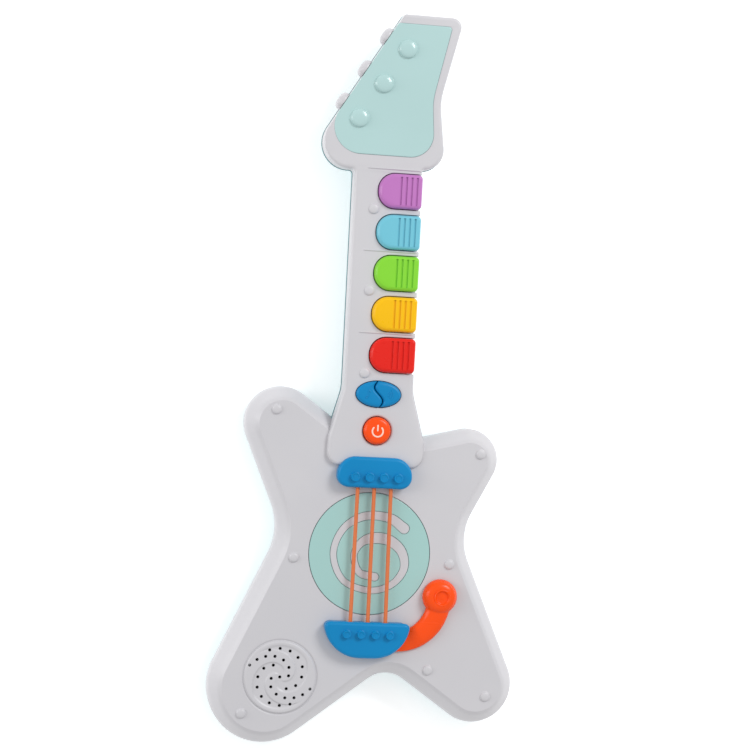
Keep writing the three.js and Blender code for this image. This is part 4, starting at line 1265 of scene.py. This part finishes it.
for name in keyNames:
    slot = f"key_{name}_plastic"
    addPiece(f"key_{name}_cap", keyCap(name), finishes[slot], "key_" + name, ["key_" + name])


# One half of the oval, moved in by an inset: the part of its rim on one side of the line x = bend(y), closed
# along that line.
def ovalSide(side, inset, count=64):
    bend = lambda y: ovalMiddle[0] - 2.6 * np.sin(
        (y - ovalMiddle[1]) / 9 * math.pi
    ) - (y - ovalMiddle[1]) * 0.1
    rim = divided(ovalShape(-inset), 4)
    away = side * (rim[:, 0] - bend(rim[:, 1])) - 0.25 - inset
    start = np.flatnonzero((away > 0) & (np.roll(away, 1) <= 0))[0]
    rim, away = np.roll(rim, -start, 0), np.roll(away, -start)
    kept = rim[: np.flatnonzero(away <= 0)[0]]
    length = np.concatenate([[0], np.cumsum(np.linalg.norm(np.diff(kept, axis=0), axis=1))])
    at = np.linspace(0, length[-1], count)
    run = np.stack([np.interp(at, length, kept[:, 0]), np.interp(at, length, kept[:, 1])], 1)
    y = np.linspace(run[-1, 1], run[0, 1], 34)[1:-1]
    return np.vstack([run, np.stack([bend(y) + side * (0.25 + inset), y], 1)])


def modeButton(side):
    node = "mode_button_left" if side < 0 else "mode_button_right"
    _, low, high = placeOf(node, home)
    top = high[2]
    path = [
        [33, 0], *softened([[33.3, 0], [top - 1.7, 0], [top - 0.5, 0.8], [top, 2.4]], [1.2, 1.0], 5).tolist()
    ]
    rings, heights = [ovalSide(side, inset) for _, inset in path], [height for height, _ in path]
    stem = turned(
        [[0, low[2]], [2, low[2]], [2, 33.4], [0, 33.4]], ovalMiddle[0] + side * 7.5, ovalMiddle[1], 24
    )
    return joined(loft(rings, heights), cap(rings[0], heights[0]), cap(rings[-1], heights[-1]), stem)


# A symbol raised from a button: a line of points carried by a round section that is half sunk.
def raisedLine(points, height, radius, closed=False):
    line = np.array(points, float)
    along = np.gradient(line, axis=0) if not closed else np.roll(line, -1, 0) - np.roll(line, 1, 0)
    along /= np.linalg.norm(along, axis=1)[:, None]
    across = np.stack([-along[:, 1], along[:, 0]], 1)
    angle = np.arange(12) * 2 * math.pi / 12
    girth = np.full(len(line), radius) if closed else radius * np.array(
        [0.0, 0.75] + [1.0] * (len(line) - 4) + [0.75, 0.0]
    )
    table = np.empty((len(line), 12, 3))
    table[..., :2] = line[:, None] + across[:, None] * (girth[:, None] * np.cos(angle))[..., None]
    table[..., 2] = height + girth[:, None] * np.sin(angle) * 0.7
    points, faces = skin(np.concatenate([table, table[:1]]) if closed else table)
    return points, faces


def straight(x0, y0, x1, y1, count=12):
    t = np.concatenate([[0, 0.03], np.linspace(0.08, 0.92, count - 4), [0.97, 1]])[:, None]
    return np.array([x0, y0]) * (1 - t) + np.array([x1, y1]) * t


def arc(x, y, radius, start, stop, count=30):
    angle = np.radians(np.linspace(start, stop, count))
    return np.stack([x + radius * np.cos(angle), y + radius * np.sin(angle)], 1)


symbolTop = placeOf("mode_button_left", home)[2][2]
noteX, noteY = ovalMiddle[0] - 8.3, ovalMiddle[1]
note = [
    straight(noteX + 0.9, noteY - 2.2, noteX + 0.9, noteY + 2.8),
    straight(noteX + 0.9, noteY + 2.8, noteX + 2.6, noteY + 1.3), arc(noteX - 0.1, noteY - 2.2, 0.7, 0, 360)
]
waveX = ovalMiddle[0] + 7.6
waves = [arc(waveX - 2.4, noteY, radius, -48, 48) for radius in (1.7, 3.2, 4.7)]
for side, name, lines in ((-1, "left", note), (1, "right", waves)):
    body = "mode_button_" + name
    part = joined(modeButton(side), *[raisedLine(line, symbolTop, 0.42) for line in lines])
    addPiece(body + "_cap", part, finishes["blue_plastic"], body, [body])

powerStyle = {"icon": 3.7, "stroke": 0.62}


def powerButton():
    top = power[2][2]
    profile = softened(
        [
            [0, power[1][2]], [2, power[1][2]], [2, 34.6], [9.5, 34.6], [9.5, 38.9], [8.3, 40.9],
            [5.2, top - 0.05], [0, top]
        ],
        [0.2, 0.2, 0.2, 1.2, 1.4, 2.4], 6
    )
    return turned(profile, power[0][0], power[0][1], 88)


# The power mark, a ring broken at the top with a bar in the break, printed a little proud of the cap.
def powerMark():
    x, y, top = power[0][0], power[0][1], power[2][2]
    bow = raisedLine(arc(x, y - 0.3, powerStyle["icon"], 128, 412, 60), top - 0.25, powerStyle["stroke"])
    bar = raisedLine(straight(x, y - 0.4, x, y + 4.3), top - 0.25, powerStyle["stroke"])
    return joined(bow, bar)


addPiece(
    "power_button_cap", powerButton(), finishes["orange_plastic"], "power_button", ["power_button"],
)
addPiece("power_mark", powerMark(), finishes["icon_print"], "power_button", [])
print("keys and buttons made")

# ---- finishes of the inner parts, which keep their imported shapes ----
innerFinishes = {
    "speaker_frame": "speaker_steel",
    "speaker_cone": "speaker_paper",
    "speaker_magnet": "speaker_magnet_iron",
    "main_board": "circuit_board",
    "neck_board": "circuit_board",
    "key_contact_pad": "contact_silicone",
    "button_contact_pad": "contact_silicone",
    "ribbon_cable": "ribbon",
    "speaker_wire_1": "wire_red",
    "speaker_wire_2": "wire_black",
    **{f"light_{k}": "light_lens" for k in (1, 2, 3)},
    **{f"battery_{k}": "battery_cell" for k in (1, 2, 3)},
    **{
        f"contact_{name}": "contact_steel"
        for name in ("single_left", "pair_left", "pair_right", "single_right")
    },
}
for name, finish in innerFinishes.items():
    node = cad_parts[name]
    for slot in node.material_slots:
        slot.material = finishes[finish]

# ---- floor, lights, camera ----
stageStyle = {
    "floor": 3.0, "roll": 3.2, "fromLeft": 9.0, "fromBelow": 0.0, "distance": 1.35, "lens": 94.1,
    "aim": [-3.0, 123.1, 34.0]
}
floorGrid = np.linspace(-stageStyle["floor"], stageStyle["floor"], 25)
acrossFloor, alongFloor = np.meshgrid(floorGrid, floorGrid)
floorPoints = np.stack([acrossFloor, alongFloor, np.full_like(acrossFloor, -0.0004)], -1).reshape(-1, 3)
corner = (np.arange(24)[:, None] * 25 + np.arange(24)).reshape(-1, 1)
floorMesh = bpy.data.meshes.new("floor")
floorMesh.from_pydata(floorPoints.tolist(), [], (corner + np.array([0, 1, 26, 25])).tolist())
floorSheet = Sheet("floor paper")
floorTone = floorSheet.blend(floorSheet.noise(3, 2), (0.93, 0.93, 0.935, 1), (0.96, 0.96, 0.96, 1))
floorShader = floorSheet.node(
    "ShaderNodeBsdfPrincipled", None,
    {
        "Base Color": floorTone, "Roughness": 0.8, "Specular IOR Level": 0.1, "Emission Color": floorTone,
        "Emission Strength": 0.42
    }
)
floorMesh.materials.append(floorSheet.finish(floorShader.outputs[0]))
floor = bpy.data.objects.new("floor", floorMesh)
bpy.context.scene.collection.objects.link(floor)

world = bpy.data.worlds.new("studio")
bpy.context.scene.world = world
world.use_nodes = True
world.node_tree.nodes["Background"].inputs["Color"].default_value = (1.0, 0.99, 0.985, 1)
world.node_tree.nodes["Background"].inputs["Strength"].default_value = 0.62


def softLight(name, place, size, power, aim=(0, 0.1, 0)):
    lamp = bpy.data.lights.new(name, "AREA")
    lamp.shape, lamp.size, lamp.size_y, lamp.energy = "RECTANGLE", size[0], size[1], power
    lampObject = bpy.data.objects.new(name, lamp)
    lampObject.location = place
    lampObject.rotation_euler = (Vector(aim) - Vector(place)).to_track_quat("-Z", "Y").to_euler()
    bpy.context.scene.collection.objects.link(lampObject)


softLight("key light", (1.2, 1.2, 1.6), (0.8, 0.8), 24)
softLight("side light", (-1.7, 0.3, 0.75), (0.7, 1.6), 11.5)

aim = Vector(((np.array(stageStyle["aim"]) + home) * mm).tolist())
back = Vector(
    (-math.sin(math.radians(stageStyle["fromLeft"])), -math.sin(math.radians(stageStyle["fromBelow"])), 1)
).normalized()
up = Vector((-math.sin(math.radians(stageStyle["roll"])), math.cos(math.radians(stageStyle["roll"])), 0))
right = up.cross(back).normalized()
camera = bpy.data.objects.new("camera", bpy.data.cameras.new("camera"))
camera.data.lens = stageStyle["lens"]
camera.data.sensor_width = 36
cameraTurn = Matrix((right, back.cross(right), back)).transposed().to_4x4()
camera.matrix_world = Matrix.Translation(aim + back * stageStyle["distance"]) @ cameraTurn
bpy.context.scene.collection.objects.link(camera)
bpy.context.scene.camera = camera
bpy.context.scene.view_settings.view_transform = "Standard"
print("stage made")
